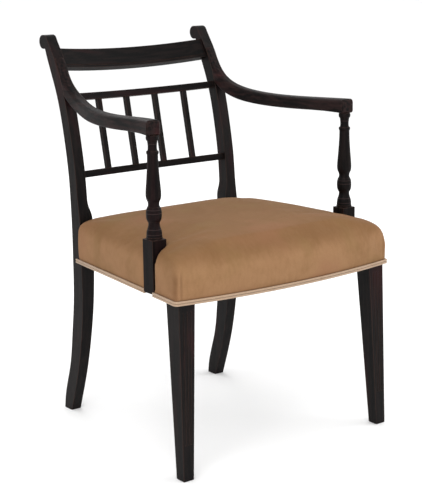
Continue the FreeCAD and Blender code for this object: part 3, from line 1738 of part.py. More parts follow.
def make_webbing():
    """Straps over the seat frame, the hessian over them and the tacks that hold the straps."""
    half = size("strap_width") / 2
    gap = size("screw_gap")
    thick = size("strap_thickness")
    holes = [tack(top, Vector(0, 0, -1), gap) for top, layer in webbing_tack_tops()]
    layers = {0: [], 1: []}
    for middle, front, rear in long_straps():
        low = (middle - half, front, strap_level(0))
        layers[0].append(solid_box(low, (middle + half, rear, strap_level(0) + thick)))
    for middle, reach in cross_straps():
        low = (-reach, middle - half, strap_level(1))
        layers[1].append(solid_box(low, (reach, middle + half, strap_level(1) + thick)))
    for layer, label in ((0, "webbing_front_to_back"), (1, "webbing_side_to_side")):
        picks = [hole for hole, (top, level) in zip(holes, webbing_tack_tops()) if level == layer]
        shape_node(label, Part.makeCompound([strap.cut(picks) for strap in layers[layer]]))
    tacks = [tack(top, Vector(0, 0, -1)) for top, layer in webbing_tack_tops()]
    shape_node("webbing_tacks", Part.makeCompound(tacks))
    margin = size("strap_end_margin")
    front = FRONT_RAIL_FRONT.value + margin
    rear = REAR_RAIL_REAR.value - margin
    bottom = hessian_level()
    corners = [
        (rail_outer(Dim.wrap(front)).value - margin, front),
        (rail_outer(Dim.wrap(rear)).value - margin, rear),
        (-rail_outer(Dim.wrap(rear)).value + margin, rear),
        (-rail_outer(Dim.wrap(front)).value + margin, front),
    ]
    cloth = plan_prism(corners, bottom, bottom + size("hessian_thickness"))
    for cutter in seat_notches(size("notch_gap")):
        cloth = cloth.cut(cutter)
    shape_node("hessian_cloth", cloth)


def make_bottom_cloth():
    """The cloth tacked under the seat frame."""
    right = bottom_cloth_corners()
    corners = right + [(-x, y) for x, y in reversed(right)]
    bottom = size("rail_bottom") - size("bottom_cloth_thickness")
    cloth = plan_prism(corners, bottom, size("rail_bottom"))
    up = Vector(0, 0, 1)
    tops = bottom_tack_tops()
    cloth = cloth.cut([tack(top, up, size("screw_gap")) for top in tops])
    shape_node("bottom_cloth", cloth)
    shape_node("bottom_cloth_tacks", Part.makeCompound([tack(top, up) for top in tops]))


def make_screws():
    """Screws of the corner blocks, of the struts and of the arms, and the plugs over the last."""
    both = (LEFT, RIGHT)
    blocks = [
        one for end in ("front", "rear") for side in both for one in block_screws(end, side)
    ]
    shape_node("corner_block_screws", Part.makeCompound(blocks))
    struts = [one for side in both for one in strut_screws(side)]
    shape_node("arm_support_screws", Part.makeCompound(struts))
    seat, way = arm_screw_line()
    one = screw(seat, way, size("arm_screw_length"))
    shape_node("arm_screws", Part.makeCompound([one, mirrored(one, LEFT)]))
    level = seat.z
    rear = front_at(level) + depth_at(level)
    plug = Part.makeCylinder(size("plug_radius"), rear - seat.y, seat, Vector(0, 1, 0))
    shape_node("arm_screw_plugs", Part.makeCompound([plug, mirrored(plug, LEFT)]))


for hand in (LEFT, RIGHT):
    make_upright(hand)
    make_front_leg(hand)
    make_side_rail(hand)
    make_arm_support(hand)
    make_arm(hand)
    for place in ("front", "rear"):
        make_corner_block(place, hand)
make_front_rail()
make_rear_rail()
make_crest_rail()
make_lattice()
make_webbing()
make_seat()
make_piping()
make_bottom_cloth()
make_screws()

doc.recompute()
for item in doc.Objects:
    if "Invalid" in item.State or "Error" in item.State:
        raise RuntimeError(f"{item.Label}: {item.State}")
for node in nodes:
    if node.Shape.isNull() or not node.Shape.isValid():
        raise RuntimeError(f"{node.Label} has no valid shape")
    node.Shape.exportStep(f"parts/{node.Label}.step")
    print(node.Label, len(node.Shape.Solids), round(node.Shape.Volume / 1000, 1), "cm3")
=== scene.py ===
"""An open armchair: worn dark mahogany, scrolled back, turned arm posts and a caramel velvet seat."""

from __future__ import annotations

import json
import logging
import math
from dataclasses import dataclass, field
from enum import Enum
from typing import Callable, Iterable, Optional, Union

import bpy
from mathutils import Matrix, Vector

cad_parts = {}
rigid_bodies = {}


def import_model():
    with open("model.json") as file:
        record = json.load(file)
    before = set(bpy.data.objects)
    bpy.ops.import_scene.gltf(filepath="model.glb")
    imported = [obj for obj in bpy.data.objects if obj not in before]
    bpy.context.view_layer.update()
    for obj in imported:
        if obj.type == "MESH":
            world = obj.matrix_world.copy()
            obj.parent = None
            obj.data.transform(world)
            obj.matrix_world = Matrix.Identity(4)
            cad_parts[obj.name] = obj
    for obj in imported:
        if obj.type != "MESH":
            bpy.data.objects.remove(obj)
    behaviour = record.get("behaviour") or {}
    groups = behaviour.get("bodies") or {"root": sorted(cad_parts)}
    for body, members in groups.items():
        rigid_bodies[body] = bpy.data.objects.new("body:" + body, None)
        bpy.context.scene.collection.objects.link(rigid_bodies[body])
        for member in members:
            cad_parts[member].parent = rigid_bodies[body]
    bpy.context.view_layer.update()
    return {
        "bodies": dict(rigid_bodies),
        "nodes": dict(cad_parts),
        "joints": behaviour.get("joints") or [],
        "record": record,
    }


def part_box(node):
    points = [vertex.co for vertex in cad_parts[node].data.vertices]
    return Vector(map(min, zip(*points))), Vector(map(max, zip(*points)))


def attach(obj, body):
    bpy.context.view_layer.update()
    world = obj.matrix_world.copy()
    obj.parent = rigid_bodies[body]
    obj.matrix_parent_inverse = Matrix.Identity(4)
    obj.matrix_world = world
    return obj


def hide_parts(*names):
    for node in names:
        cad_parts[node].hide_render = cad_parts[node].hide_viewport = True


LOG = logging.getLogger("armchair")
MM = 0.001
Number = Union[float, int, "Signal"]
Colour = tuple[float, float, float]
Piece = bpy.types.Object
Socket = bpy.types.NodeSocket
Paint = Union[Colour, Socket]


class Axis(Enum):
    """The way that the timber's grain runs."""

    ACROSS = 0
    DEEP = 1
    UP = 2


def clamp(value: float) -> float:
    """A value held between 0 and 1."""
    return max(0.0, min(1.0, value))


def bell(distance: float, width: float) -> float:
    """A smooth bump of height 1 that fades away over a width."""
    return math.exp(-((distance / width) ** 2))


# Shaders


class Signal:
    """A shader value: an expression on it adds the Math nodes."""

    def __init__(self, bench: Bench, socket: Socket) -> None:
        """Wrap a socket.

        Args:
            bench: The finish that the socket belongs to.
            socket: The socket that gives the value.
        """
        self.bench = bench
        self.socket = socket

    def _with(self, operation: str, first: Number, second: Number = 0.0) -> Signal:
        """Add a Math node.

        Args:
            operation: The Math node's operation.
            first: Its first value.
            second: Its second value.

        Returns:
            The node's result.
        """
        return self.bench.signal("ShaderNodeMath", {"operation": operation}, {0: first, 1: second})

    def __add__(self, other: Number) -> Signal:
        """Sum."""
        return self._with("ADD", self, other)

    def __sub__(self, other: Number) -> Signal:
        """Difference."""
        return self._with("SUBTRACT", self, other)

    def __rsub__(self, other: Number) -> Signal:
        """Difference from a number."""
        return self._with("SUBTRACT", other, self)

    def __mul__(self, other: Number) -> Signal:
        """Product."""
        return self._with("MULTIPLY", self, other)

    def __abs__(self) -> Signal:
        """Size."""
        return self._with("ABSOLUTE", self)

    __radd__ = __add__
    __rmul__ = __mul__

    def sine(self) -> Signal:
        """Sine."""
        return self._with("SINE", self)

    def most(self, other: Number) -> Signal:
        """The larger of two."""
        return self._with("MAXIMUM", self, other)

    def step(self, low: float, high: float) -> Signal:
        """A smooth step from 0 at low to 1 at high, or falling where low is the larger."""
        settings = {"interpolation_type": "SMOOTHSTEP"}
        inputs = {"Value": self, "From Min": low, "From Max": high, "To Min": 0.0, "To Max": 1.0}
        return self.bench.signal("ShaderNodeMapRange", settings, inputs)

    def near(self, place: float, width: float) -> Signal:
        """A bump of height 1 at a place, which ends a width away on both sides."""
        return abs(self - place).step(width, 0.0)


class Bench:
    """The node tree of one finish, with the one method that makes its nodes."""

    def __init__(self, name: str) -> None:
        """Start an empty material.

        Args:
            name: The material's name.
        """
        self.material = bpy.data.materials.new(name)
        self.material.use_nodes = True
        self.tree = self.material.node_tree
        self.tree.nodes.clear()

    def node(
        self, kind: str, settings: Optional[dict] = None, inputs: Optional[dict] = None
    ) -> bpy.types.Node:
        """Make a node.

        Args:
            kind: The node's type.
            settings: Its properties.
            inputs: Values, sockets or signals for its inputs, by name or number.

        Returns:
            The node.
        """
        made = self.tree.nodes.new(kind)
        for key, setting in (settings or {}).items():
            setattr(made, key, setting)
        for key, given in (inputs or {}).items():
            given = given.socket if isinstance(given, Signal) else given
            if isinstance(given, Socket):
                self.tree.links.new(given, made.inputs[key])
            elif isinstance(given, tuple) and made.inputs[key].type == "RGBA":
                made.inputs[key].default_value = (*given, 1.0)
            else:
                made.inputs[key].default_value = given
        return made

    def signal(
        self,
        kind: str,
        settings: Optional[dict] = None,
        inputs: Optional[dict] = None,
        out: Union[int, str] = 0,
    ) -> Signal:
        """Make a node and give one of its outputs as a signal."""
        return Signal(self, self.node(kind, settings, inputs).outputs[out])

    def place(self, scale: tuple[float, float, float] = (1.0, 1.0, 1.0)) -> Socket:
        """Object coordinates, stretched.

        Args:
            scale: How often a pattern repeats along X, Y and Z.

        Returns:
            The stretched coordinates.
        """
        where = self.node("ShaderNodeTexCoord").outputs["Object"]
        return self.node("ShaderNodeMapping", None, {"Vector": where, "Scale": scale}).outputs[0]

    def axes(self) -> tuple[Signal, Signal, Signal]:
        """The object coordinates as three signals."""
        where = self.node("ShaderNodeTexCoord").outputs["Object"]
        split = self.node("ShaderNodeSeparateXYZ", None, {0: where})
        return tuple(Signal(self, split.outputs[index]) for index in range(3))

    def noise(
        self,
        vector: Socket,
        scale: float = 1.0,
        detail: float = 3.0,
        rough: float = 0.5,
        twist: float = 0.0,
    ) -> Signal:
        """Noise from 0 to 1.

        Args:
            vector: The coordinates.
            scale: Its fineness.
            detail: How many finer layers it has.
            rough: How strong they are.
            twist: How much it is distorted.

        Returns:
            The noise.
        """
        inputs = {"Vector": vector, "Scale": scale, "Detail": detail}
        inputs.update({"Roughness": rough, "Distortion": twist})
        return self.signal("ShaderNodeTexNoise", None, inputs, "Fac")

    def blend(self, share: Number, first: Paint, second: Paint) -> Socket:
        """Mix two colours.

        Args:
            share: How much of the second colour there is.
            first: The first colour.
            second: The second colour.

        Returns:
            The mixed colour.
        """
        settings = {"data_type": "RGBA", "blend_type": "MIX", "clamp_factor": True}
        return self.node("ShaderNodeMix", settings, {0: share, 6: first, 7: second}).outputs[2]

    def worn_edges(self, radius: float) -> Signal:
        """0 on flat faces and up to 1 on edges."""
        hard = self.node("ShaderNodeNewGeometry").outputs["Normal"]
        inputs = {0: self.rounded(radius), 1: hard}
        dot = self.signal("ShaderNodeVectorMath", {"operation": "DOT_PRODUCT"}, inputs, "Value")
        return (1.0 - dot).step(0.01, 0.22)

    def rounded(self, radius: float) -> Socket:
        """The normal with edges rounded off at a radius in metres."""
        return self.node("ShaderNodeBevel", {"samples": 6}, {"Radius": radius}).outputs[0]

    def bump(
        self, height: Number, depth: float, strength: float = 1.0, round_edge: float = 0.0
    ) -> Socket:
        """A bumped normal.

        Args:
            height: The pattern, from 0 to 1.
            depth: The pattern's depth in metres.
            strength: The bump's strength.
            round_edge: Radius in metres at which edges are rounded off.

        Returns:
            The normal.
        """
        inputs = {"Height": height, "Distance": depth, "Strength": strength}
        if round_edge:
            inputs["Normal"] = self.rounded(round_edge)
        return self.node("ShaderNodeBump", None, inputs).outputs[0]

    def finish(self, **inputs: object) -> bpy.types.Material:
        """Close the material with a Principled shader.

        Args:
            inputs: The shader's sockets, with underscores for spaces.

        Returns:
            The material.
        """
        named = {key.replace("_", " "): value for key, value in inputs.items()}
        shader = self.node("ShaderNodeBsdfPrincipled", None, named)
        self.node("ShaderNodeOutputMaterial", None, {"Surface": shader.outputs[0]})
        return self.material


@dataclass(frozen=True)
class PolishedWood:
    """Dark polished mahogany, rubbed reddish along its edges and handled places, with painted
    highlights and painted shade on the rings of turned pieces.
    """

    name: str
    grain: Axis
    turned: bool = False
    dark: Colour = (0.0030, 0.0027, 0.0028)
    brown: Colour = (0.0085, 0.0058, 0.0055)
    ruby: Colour = (0.0250, 0.0052, 0.0062)
    bare: Colour = (0.075, 0.040, 0.030)
    # The colour of the painted highlights on the crests of the turned rings
    ring_highlight: Colour = (0.052, 0.033, 0.032)
    shine: float = 0.07
    full_shine: float = 0.07
    ring_half: float = 1.1 * MM
    groove_half: float = 1.0 * MM
    groove_drop: float = 1.8 * MM
    groove_shade: float = 1.2 * MM
    rings: tuple[float, ...] = (0.5255, 0.5185, 0.4865, 0.4765, 0.6545)

    def stretched(self, along: float, across: float) -> tuple[float, float, float]:
        """Scales that draw a pattern out along the grain."""
        return tuple(along if index == self.grain.value else across for index in range(3))

    def make(self) -> bpy.types.Material:
        """Make the wood."""
        bench = Bench(self.name)
        fibres = bench.place(self.stretched(9.0, 150.0))
        grain = bench.noise(fibres, detail=5.0, rough=0.62, twist=0.35)
        figure = bench.noise(bench.place(self.stretched(3.0, 16.0)), rough=0.55, twist=0.8)
        needles = bench.place(self.stretched(90.0, 1400.0))
        pores = bench.noise(needles, detail=2.0).step(0.60, 0.72)
        cloud = bench.noise(bench.place(), scale=7.0, rough=0.6, twist=0.4)
        fine = bench.noise(bench.place(), scale=55.0, detail=4.0, rough=0.6)
        edges = bench.worn_edges(0.0026)
        rub = edges * (cloud * 0.6 + fine * 0.9 - 0.32).step(0.05, 0.5)
        colour = bench.blend(grain.step(0.36, 0.66), self.dark, self.brown)
        warmth = 0.3 if self.turned else 0.62
        colour = bench.blend(figure.step(0.52, 0.76) * warmth, colour, self.ruby)
        colour = bench.blend(pores * 0.7, colour, self.dark)
        colour = bench.blend(rub * 0.62, colour, self.bare)
        height = grain * 0.25 - pores * 0.5 + fine * 0.2
        gloss = 0.43 + fine * 0.16 + pores * 0.12 - rub * 0.04 + (cloud - 0.5) * 0.16
        if self.turned:
            level = bench.axes()[2]
            for place in self.rings:
                under = place - self.groove_drop
                crest = level.near(place, self.ring_half)
                height = height + crest * 1.5 - level.near(under, self.groove_half) * 1.5
                # Painted highlights on the ring crests, and painted shade in the grooves under them
                colour = bench.blend(crest * (0.35 + cloud * 0.5), colour, self.ring_highlight)
                colour = bench.blend(level.near(under, self.groove_shade) * 0.7, colour, self.dark)
        normal = bench.bump(height, depth=0.0004, strength=0.55, round_edge=0.0013)
        return bench.finish(
            Base_Color=colour,
            Roughness=gloss,
            Normal=normal,
            Coat_Weight=(0.06 - pores * 0.05 - rub * 0.02).most(0.0) * (self.shine / self.full_shine),
            Coat_Roughness=0.22,
            Specular_IOR_Level=self.shine,
        )


@dataclass(frozen=True)
class RawTimber:
    """Unpolished beech with short dark flecks, greyed and stained with age."""

    name: str
    grain: Axis
    pale: Colour = (0.36, 0.235, 0.14)
    deep: Colour = (0.19, 0.105, 0.055)
    fleck: Colour = (0.10, 0.052, 0.027)

    def make(self) -> bpy.types.Material:
        """Make the timber."""
        bench = Bench(self.name)
        run = self.grain.value
        drawn = bench.place(tuple(8.0 if index == run else 95.0 for index in range(3)))
        streaks = bench.noise(drawn, detail=4.0, rough=0.6, twist=0.5)
        short = bench.place(tuple(110.0 if index == run else 900.0 for index in range(3)))
        flecks = bench.noise(short, detail=1.0).step(0.66, 0.74)
        stain = bench.noise(bench.place(), scale=9.0, detail=4.0, rough=0.65)
        colour = bench.blend(streaks.step(0.3, 0.72), self.pale, self.deep)
        colour = bench.blend(flecks * 0.75, colour, self.fleck)
        colour = bench.blend(stain.step(0.5, 0.8) * 0.55, colour, self.fleck)
        height = streaks * 0.6 - flecks * 0.4
        return bench.finish(
            Base_Color=colour,
            Roughness=0.7 + flecks * 0.12,
            Normal=bench.bump(height, depth=0.0004, strength=0.5, round_edge=0.0010),
            Specular_IOR_Level=0.3,
        )


@dataclass(frozen=True)
class WornVelvet:
    """Caramel velvet: short pile brushed in patches, rubbed paler where it is handled, with painted
    shade on the top and in the creases and painted light on the sides and on the pleats' crowns.
    """

    name: str
    shade: Colour = (0.200, 0.104, 0.045)
    # The pale velvet of the worn patches, also the colour of the painted light on the sides and the
    # painted highlight on the pleats' crowns
    light: Colour = (0.290, 0.160, 0.080)
    rose: Colour = (0.250, 0.112, 0.062)
    olive: Colour = (0.195, 0.120, 0.045)
    # The colour of the painted shade over the piping, on the sideways flanks and beside the pleats
    crease_shade: Colour = (0.105, 0.048, 0.020)
    # The colour of the painted shade on the top of the dome
    crown: Colour = (0.172, 0.086, 0.036)

    def make(self) -> bpy.types.Material:
        """Make the velvet."""
        bench = Bench(self.name)
        patches = bench.place((1.0, 1.5, 1.2))
        brushed = bench.noise(patches, scale=7.5, detail=4.0, rough=0.6, twist=0.7)
        clouds = bench.place((1.0, 1.2, 1.0))
        tint = bench.noise(clouds, scale=9.0, detail=2.0, rough=0.45, twist=0.1)
        nap = bench.noise(bench.place((26.0, 9.0, 9.0)), scale=6.0, rough=0.6)
        pile = bench.noise(bench.place(), scale=1500.0, detail=2.0, rough=0.6)
        tuft = bench.noise(bench.place(), scale=420.0, detail=2.0, rough=0.55)
        painted_shade = bench.signal("ShaderNodeAttribute", {"attribute_name": "painted_shade"}, None, "Fac")
        painted_highlight = bench.signal("ShaderNodeAttribute", {"attribute_name": "painted_highlight"}, None, "Fac")
        lift = bench.axes()[2]
        # 1 on the seat's sides and 0 on its top: it carries painted light on the sides and painted
        # shade on the top
        side = lift.step(0.452, 0.415)
        # The paler patches are wear from brushing and nap, with painted light added on the sides
        wear_and_side_light = (brushed * 0.75 + nap * 0.35 + side * 0.16).step(0.38, 0.84)
        colour = bench.blend(wear_and_side_light, self.shade, self.light)
        # Painted shade: the top of the dome darkened towards the crown colour
        colour = bench.blend((1.0 - side) * 0.62, colour, self.crown)
        colour = bench.blend(tint.step(0.52, 0.76) * 0.4, colour, self.rose)
        colour = bench.blend(tint.step(0.48, 0.26) * 0.4, colour, self.olive)
        colour = bench.blend((pile * 0.5 + tuft * 0.5).step(0.62, 0.36) * 0.22, colour, self.shade)
        # Painted shade: darker over the piping, on the flanks and beside the pleats, as marked on the
        # seat
        colour = bench.blend(painted_shade * 0.8, colour, self.crease_shade)
        # Painted highlight on the crown of each pleat
        colour = bench.blend(painted_highlight * 0.45, colour, self.light)
        height = pile * 0.5 + tuft * 0.35 + nap * 0.3
        return bench.finish(
            Base_Color=colour,
            Roughness=0.86 + pile * 0.1,
            Normal=bench.bump(height, depth=0.0008, strength=0.6),
            Sheen_Weight=0.05,
            Sheen_Roughness=0.4,
            Sheen_Tint=(0.95, 0.78, 0.62),
            Specular_IOR_Level=0.10,
        )


@dataclass(frozen=True)
class CordCover:
    """Pale cloth on the bias over a cord, read from the cord's own map: U round it and V along it."""

    name: str
    pale: Colour = (0.45, 0.32, 0.222)
    deep: Colour = (0.27, 0.17, 0.10)
    soil: Colour = (0.17, 0.10, 0.06)
    threads: float = 900.0

    def make(self) -> bpy.types.Material:
        """Make the cloth."""
        bench = Bench(self.name)
        where = bench.node("ShaderNodeUVMap", {"uv_map": "cord"}).outputs[0]
        split = bench.node("ShaderNodeSeparateXYZ", None, {0: where})
        turn, run = (Signal(bench, split.outputs[index]) for index in (0, 1))
        twist = ((run * self.threads + turn) * (2.0 * math.pi)).sine()
        cross = ((run * self.threads - turn * 2.0) * (2.0 * math.pi)).sine()
        thread = (twist * 0.5 + 0.5) * (cross * 0.25 + 0.75)
        grime = bench.noise(bench.place(), scale=26.0, detail=4.0, rough=0.6)
        fuzz = bench.noise(bench.place(), scale=1300.0, detail=2.0)
        colour = bench.blend(thread.step(0.7, 0.1) * 0.38, self.pale, self.deep)
        colour = bench.blend(grime.step(0.52, 0.78) * 0.45, colour, self.deep)
        colour = bench.blend(fuzz.step(0.45, 0.25) * 0.3, colour, self.soil)
        return bench.finish(
            Base_Color=colour,
            Roughness=0.82 + fuzz * 0.1,
            Normal=bench.bump(thread * 0.8 + fuzz * 0.4, depth=0.0005, strength=0.7),
            Sheen_Weight=0.15,
            Specular_IOR_Level=0.2,
        )


@dataclass(frozen=True)
class PlainWeave:
    """A plain or open weave across X and Y, with slubs, stains and dust."""

    name: str
    thread: Colour
    gap: Colour
    dust: Colour
    pitch: float
    rib: float = 0.0

    def make(self) -> bpy.types.Material:
        """Make the cloth."""
        bench = Bench(self.name)
        across, deep, _up = bench.axes()
        slub = bench.noise(bench.place((20.0, 20.0, 20.0))) * 0.0006
        turn = 2.0 * math.pi / self.pitch
        warp = ((across + slub) * turn).sine()
        weft = ((deep + slub) * turn).sine()
        cloth = (warp * 0.5 + 0.5).most(weft * 0.5 + 0.5)
        if self.rib:
            zigzag = abs((across * (math.pi / self.rib)).sine()) * self.rib
            cloth = (((deep + zigzag) * turn).sine() * 0.5 + 0.5) * 0.7 + cloth * 0.3
        stain = bench.noise(bench.place(), scale=11.0, detail=4.0, rough=0.6)
        fuzz = bench.noise(bench.place(), scale=900.0, detail=2.0)
        colour = bench.blend(cloth.step(0.25, 0.8), self.gap, self.thread)
        dirt = stain.step(0.45, 0.8) * 0.5 + fuzz.step(0.62, 0.8) * 0.3
        colour = bench.blend(dirt, colour, self.dust)
        return bench.finish(
            Base_Color=colour,
            Roughness=0.9,
            Normal=bench.bump(cloth + fuzz * 0.3, depth=0.0004, strength=0.7),
            Specular_IOR_Level=0.15,
        )


@dataclass(frozen=True)
class CurledHair:
    """Curled hair under the cover."""

    name: str
    deep: Colour = (0.03, 0.02, 0.013)
    pale: Colour = (0.17, 0.12, 0.075)

    def make(self) -> bpy.types.Material:
        """Make the hair."""
        bench = Bench(self.name)
        curl = bench.noise(bench.place(), scale=160.0, detail=4.0, rough=0.7, twist=2.5)
        colour = bench.blend(curl.step(0.35, 0.65), self.deep, self.pale)
        normal = bench.bump(curl, depth=0.002, strength=0.8)
        return bench.finish(Base_Color=colour, Roughness=0.85, Normal=normal)


@dataclass(frozen=True)
class BluedSteel:
    """Blued tacks and screws with brown rust in spots."""

    name: str
    blue: Colour = (0.10, 0.105, 0.115)
    bright: Colour = (0.22, 0.22, 0.23)
    rust: Colour = (0.11, 0.045, 0.022)

    def make(self) -> bpy.types.Material:
        """Make the steel."""
        bench = Bench(self.name)
        spots = bench.noise(bench.place(), scale=240.0, detail=4.0, rough=0.65).step(0.5, 0.66)
        brush = bench.noise(bench.place((1800.0, 220.0, 220.0)), detail=2.0)
        colour = bench.blend(brush, self.blue, self.bright)
        colour = bench.blend(spots * 0.8, colour, self.rust)
        return bench.finish(
            Base_Color=colour,
            Metallic=1.0 - spots * 0.85,
            Roughness=0.34 + spots * 0.4 + brush * 0.1,
            Normal=bench.bump(spots + brush * 0.2, depth=0.00015, strength=0.6, round_edge=0.0004),
        )


# Modelling


class Workshop:
    """Blender's tools as the maker uses them."""

    same_point = 0.02 * MM

    @staticmethod
    def clear() -> None:
        """Leave nothing selected, in object mode."""
        if bpy.context.object and bpy.context.object.mode != "OBJECT":
            bpy.ops.object.mode_set(mode="OBJECT")
        bpy.ops.object.select_all(action="DESELECT")

    @classmethod
    def take(cls, *pieces: Piece) -> Piece:
        """Select some pieces, the first one active.

        Args:
            pieces: The pieces.

        Returns:
            The first piece.
        """
        cls.clear()
        for piece in pieces:
            piece.select_set(True)
        bpy.context.view_layer.objects.active = pieces[0]
        return pieces[0]

    @classmethod
    def copy(cls, source: Piece, name: str) -> Piece:
        """A merged copy of a CAD node, with its own mesh and no material."""
        made = bpy.data.objects.new(name, source.data.copy())
        bpy.context.scene.collection.objects.link(made)
        made.data.name = name
        made.data.materials.clear()
        cls.edit(made, bpy.ops.mesh.remove_doubles, threshold=cls.same_point)
        return made

    @classmethod
    def edit(cls, piece: Piece, tool: Callable, **settings: object) -> None:
        """Use an edit-mode tool on the whole of a piece.

        Args:
            piece: The piece.
            tool: The mesh operator.
            settings: Its settings.
        """
        cls.take(piece)
        bpy.ops.object.mode_set(mode="EDIT")
        bpy.ops.mesh.select_all(action="SELECT")
        tool(**settings)
        bpy.ops.object.mode_set(mode="OBJECT")

    @classmethod
    def modify(cls, piece: Piece, kind: str, **settings: object) -> None:
        """Add a modifier and apply it.

        Args:
            piece: The piece.
            kind: The modifier's type.
            settings: Its properties.
        """
        cls.take(piece)
        modifier = piece.modifiers.new(kind.lower(), kind)
        for key, value in settings.items():
            setattr(modifier, key, value)
        bpy.ops.object.modifier_apply(modifier=modifier.name)

    @classmethod
    def box(cls, name: str, low: Vector, high: Vector) -> Piece:
        """A box between two corners, for cutting."""
        cls.clear()
        bpy.ops.mesh.primitive_cube_add(size=1.0, location=(low + high) / 2)
        made = bpy.context.object
        made.name = name
        made.scale = high - low
        cls.settle(made)
        return made

    @classmethod
    def settle(cls, piece: Piece) -> None:
        """Put a piece's place, turn and scale into its mesh."""
        cls.take(piece)
        bpy.ops.object.transform_apply(location=True, rotation=True, scale=True)

    @classmethod
    def cut(cls, piece: Piece, tool: Piece) -> None:
        """Cut a piece with a tool, and put the tool away."""
        cls.modify(piece, "BOOLEAN", operation="DIFFERENCE", solver="EXACT", object=tool)
        bpy.data.objects.remove(tool)

    @classmethod
    def smooth(cls, piece: Piece, angle: float = 40.0) -> None:
        """Shade a piece smooth up to an angle in degrees."""
        cls.take(piece)
        bpy.ops.object.shade_smooth_by_angle(angle=math.radians(angle))

    @classmethod
    def wrap(cls, piece: Piece) -> None:
        """Turn a piece into the closed form that wraps its points."""
        cls.edit(piece, bpy.ops.mesh.convex_hull)

    @classmethod
    def outward(cls, piece: Piece) -> None:
        """Turn all faces outwards."""
        cls.edit(piece, bpy.ops.mesh.normals_make_consistent, inside=False)


def dress(piece: Piece, material: bpy.types.Material) -> None:
    """Give a piece one material."""
    piece.data.materials.clear()
    piece.data.materials.append(material)


@dataclass
class Timberwork:
    """The chair's frame, whose pieces keep their shape and get their finish."""

    nodes: dict
    polished: dict = field(
        default_factory=lambda: {
            Axis.UP: (
                "back_upright_left",
                "back_upright_right",
                "front_leg_left",
                "front_leg_right",
                "lattice_bar_1",
                "lattice_bar_2",
                "lattice_bar_3",
                "lattice_bar_4",
            ),
            Axis.ACROSS: ("crest_rail", "lattice_top_rail", "lattice_bottom_rail", "arm_screw_plugs"),
            Axis.DEEP: ("arm_left", "arm_right"),
        }
    )
    raw: dict = field(
        default_factory=lambda: {
            Axis.ACROSS: (
                "front_seat_rail",
                "rear_seat_rail",
                "corner_block_front_left",
                "corner_block_front_right",
                "corner_block_rear_left",
                "corner_block_rear_right",
            ),
            Axis.DEEP: ("side_seat_rail_left", "side_seat_rail_right"),
        }
    )
    turned: tuple[str, ...] = ("arm_support_left", "arm_support_right")
    wear: dict = field(
        default_factory=lambda: {
            Axis.ACROSS: {"shine": 0.045},
            Axis.DEEP: {
                "shine": 0.05,
                "brown": (0.0190, 0.0100, 0.0095),
                "ruby": (0.0460, 0.0140, 0.0145),
            },
            Axis.UP: {"shine": 0.065},
        }
    )
    turned_shine: float = 0.04

    def build(self) -> None:
        """Dress every piece of timber."""
        for axis, names in self.polished.items():
            wood = PolishedWood(f"mahogany_{axis.name.lower()}", axis, **self.wear[axis])
            self.finish(names, wood)
        posts = PolishedWood("mahogany_turned", Axis.UP, turned=True, shine=self.turned_shine)
        self.finish(self.turned, posts)
        for axis, names in self.raw.items():
            self.finish(names, RawTimber(f"beech_{axis.name.lower()}", axis))

    def finish(self, names: Iterable[str], finish: Union[PolishedWood, RawTimber]) -> None:
        """Make a finish and give it to some pieces.

        Args:
            names: The names of the pieces.
            finish: The finish.
        """
        material = finish.make()
        for name in names:
            dress(self.nodes[name], material)
        LOG.info("%s: %s", finish.name, ", ".join(names))


@dataclass
class Fastenings:
    """Tacks, screws, webbing and hessian inside the seat."""

    nodes: dict
    steel: tuple[str, ...] = (
        "webbing_tacks",
        "bottom_cloth_tacks",
        "corner_block_screws",
        "arm_support_screws",
        "arm_screws",
    )
    straps: tuple[str, ...] = ("webbing_front_to_back", "webbing_side_to_side")
    webbing: PlainWeave = PlainWeave(
        "webbing_weave",
        thread=(0.42, 0.33, 0.21),
        gap=(0.16, 0.11, 0.065),
        dust=(0.2, 0.16, 0.11),
        pitch=1.6 * MM,
        rib=6.0 * MM,
    )
    hessian: PlainWeave = PlainWeave(
        "hessian_weave",
        thread=(0.36, 0.26, 0.15),
        gap=(0.09, 0.06, 0.035),
        dust=(0.22, 0.17, 0.11),
        pitch=2.4 * MM,
    )

    def build(self) -> None:
        """Dress what lies inside the seat."""
        blued = BluedSteel("blued_steel").make()
        for name in self.steel:
            dress(self.nodes[name], blued)
        woven = self.webbing.make()
        for name in self.straps:
            dress(self.nodes[name], woven)
        dress(self.nodes["hessian_cloth"], self.hessian.make())
        dress(self.nodes["seat_stuffing"], CurledHair("curled_hair").make())
        LOG.info("fastenings and cloths: %d pieces dressed", len(self.steel) + len(self.straps) + 2)


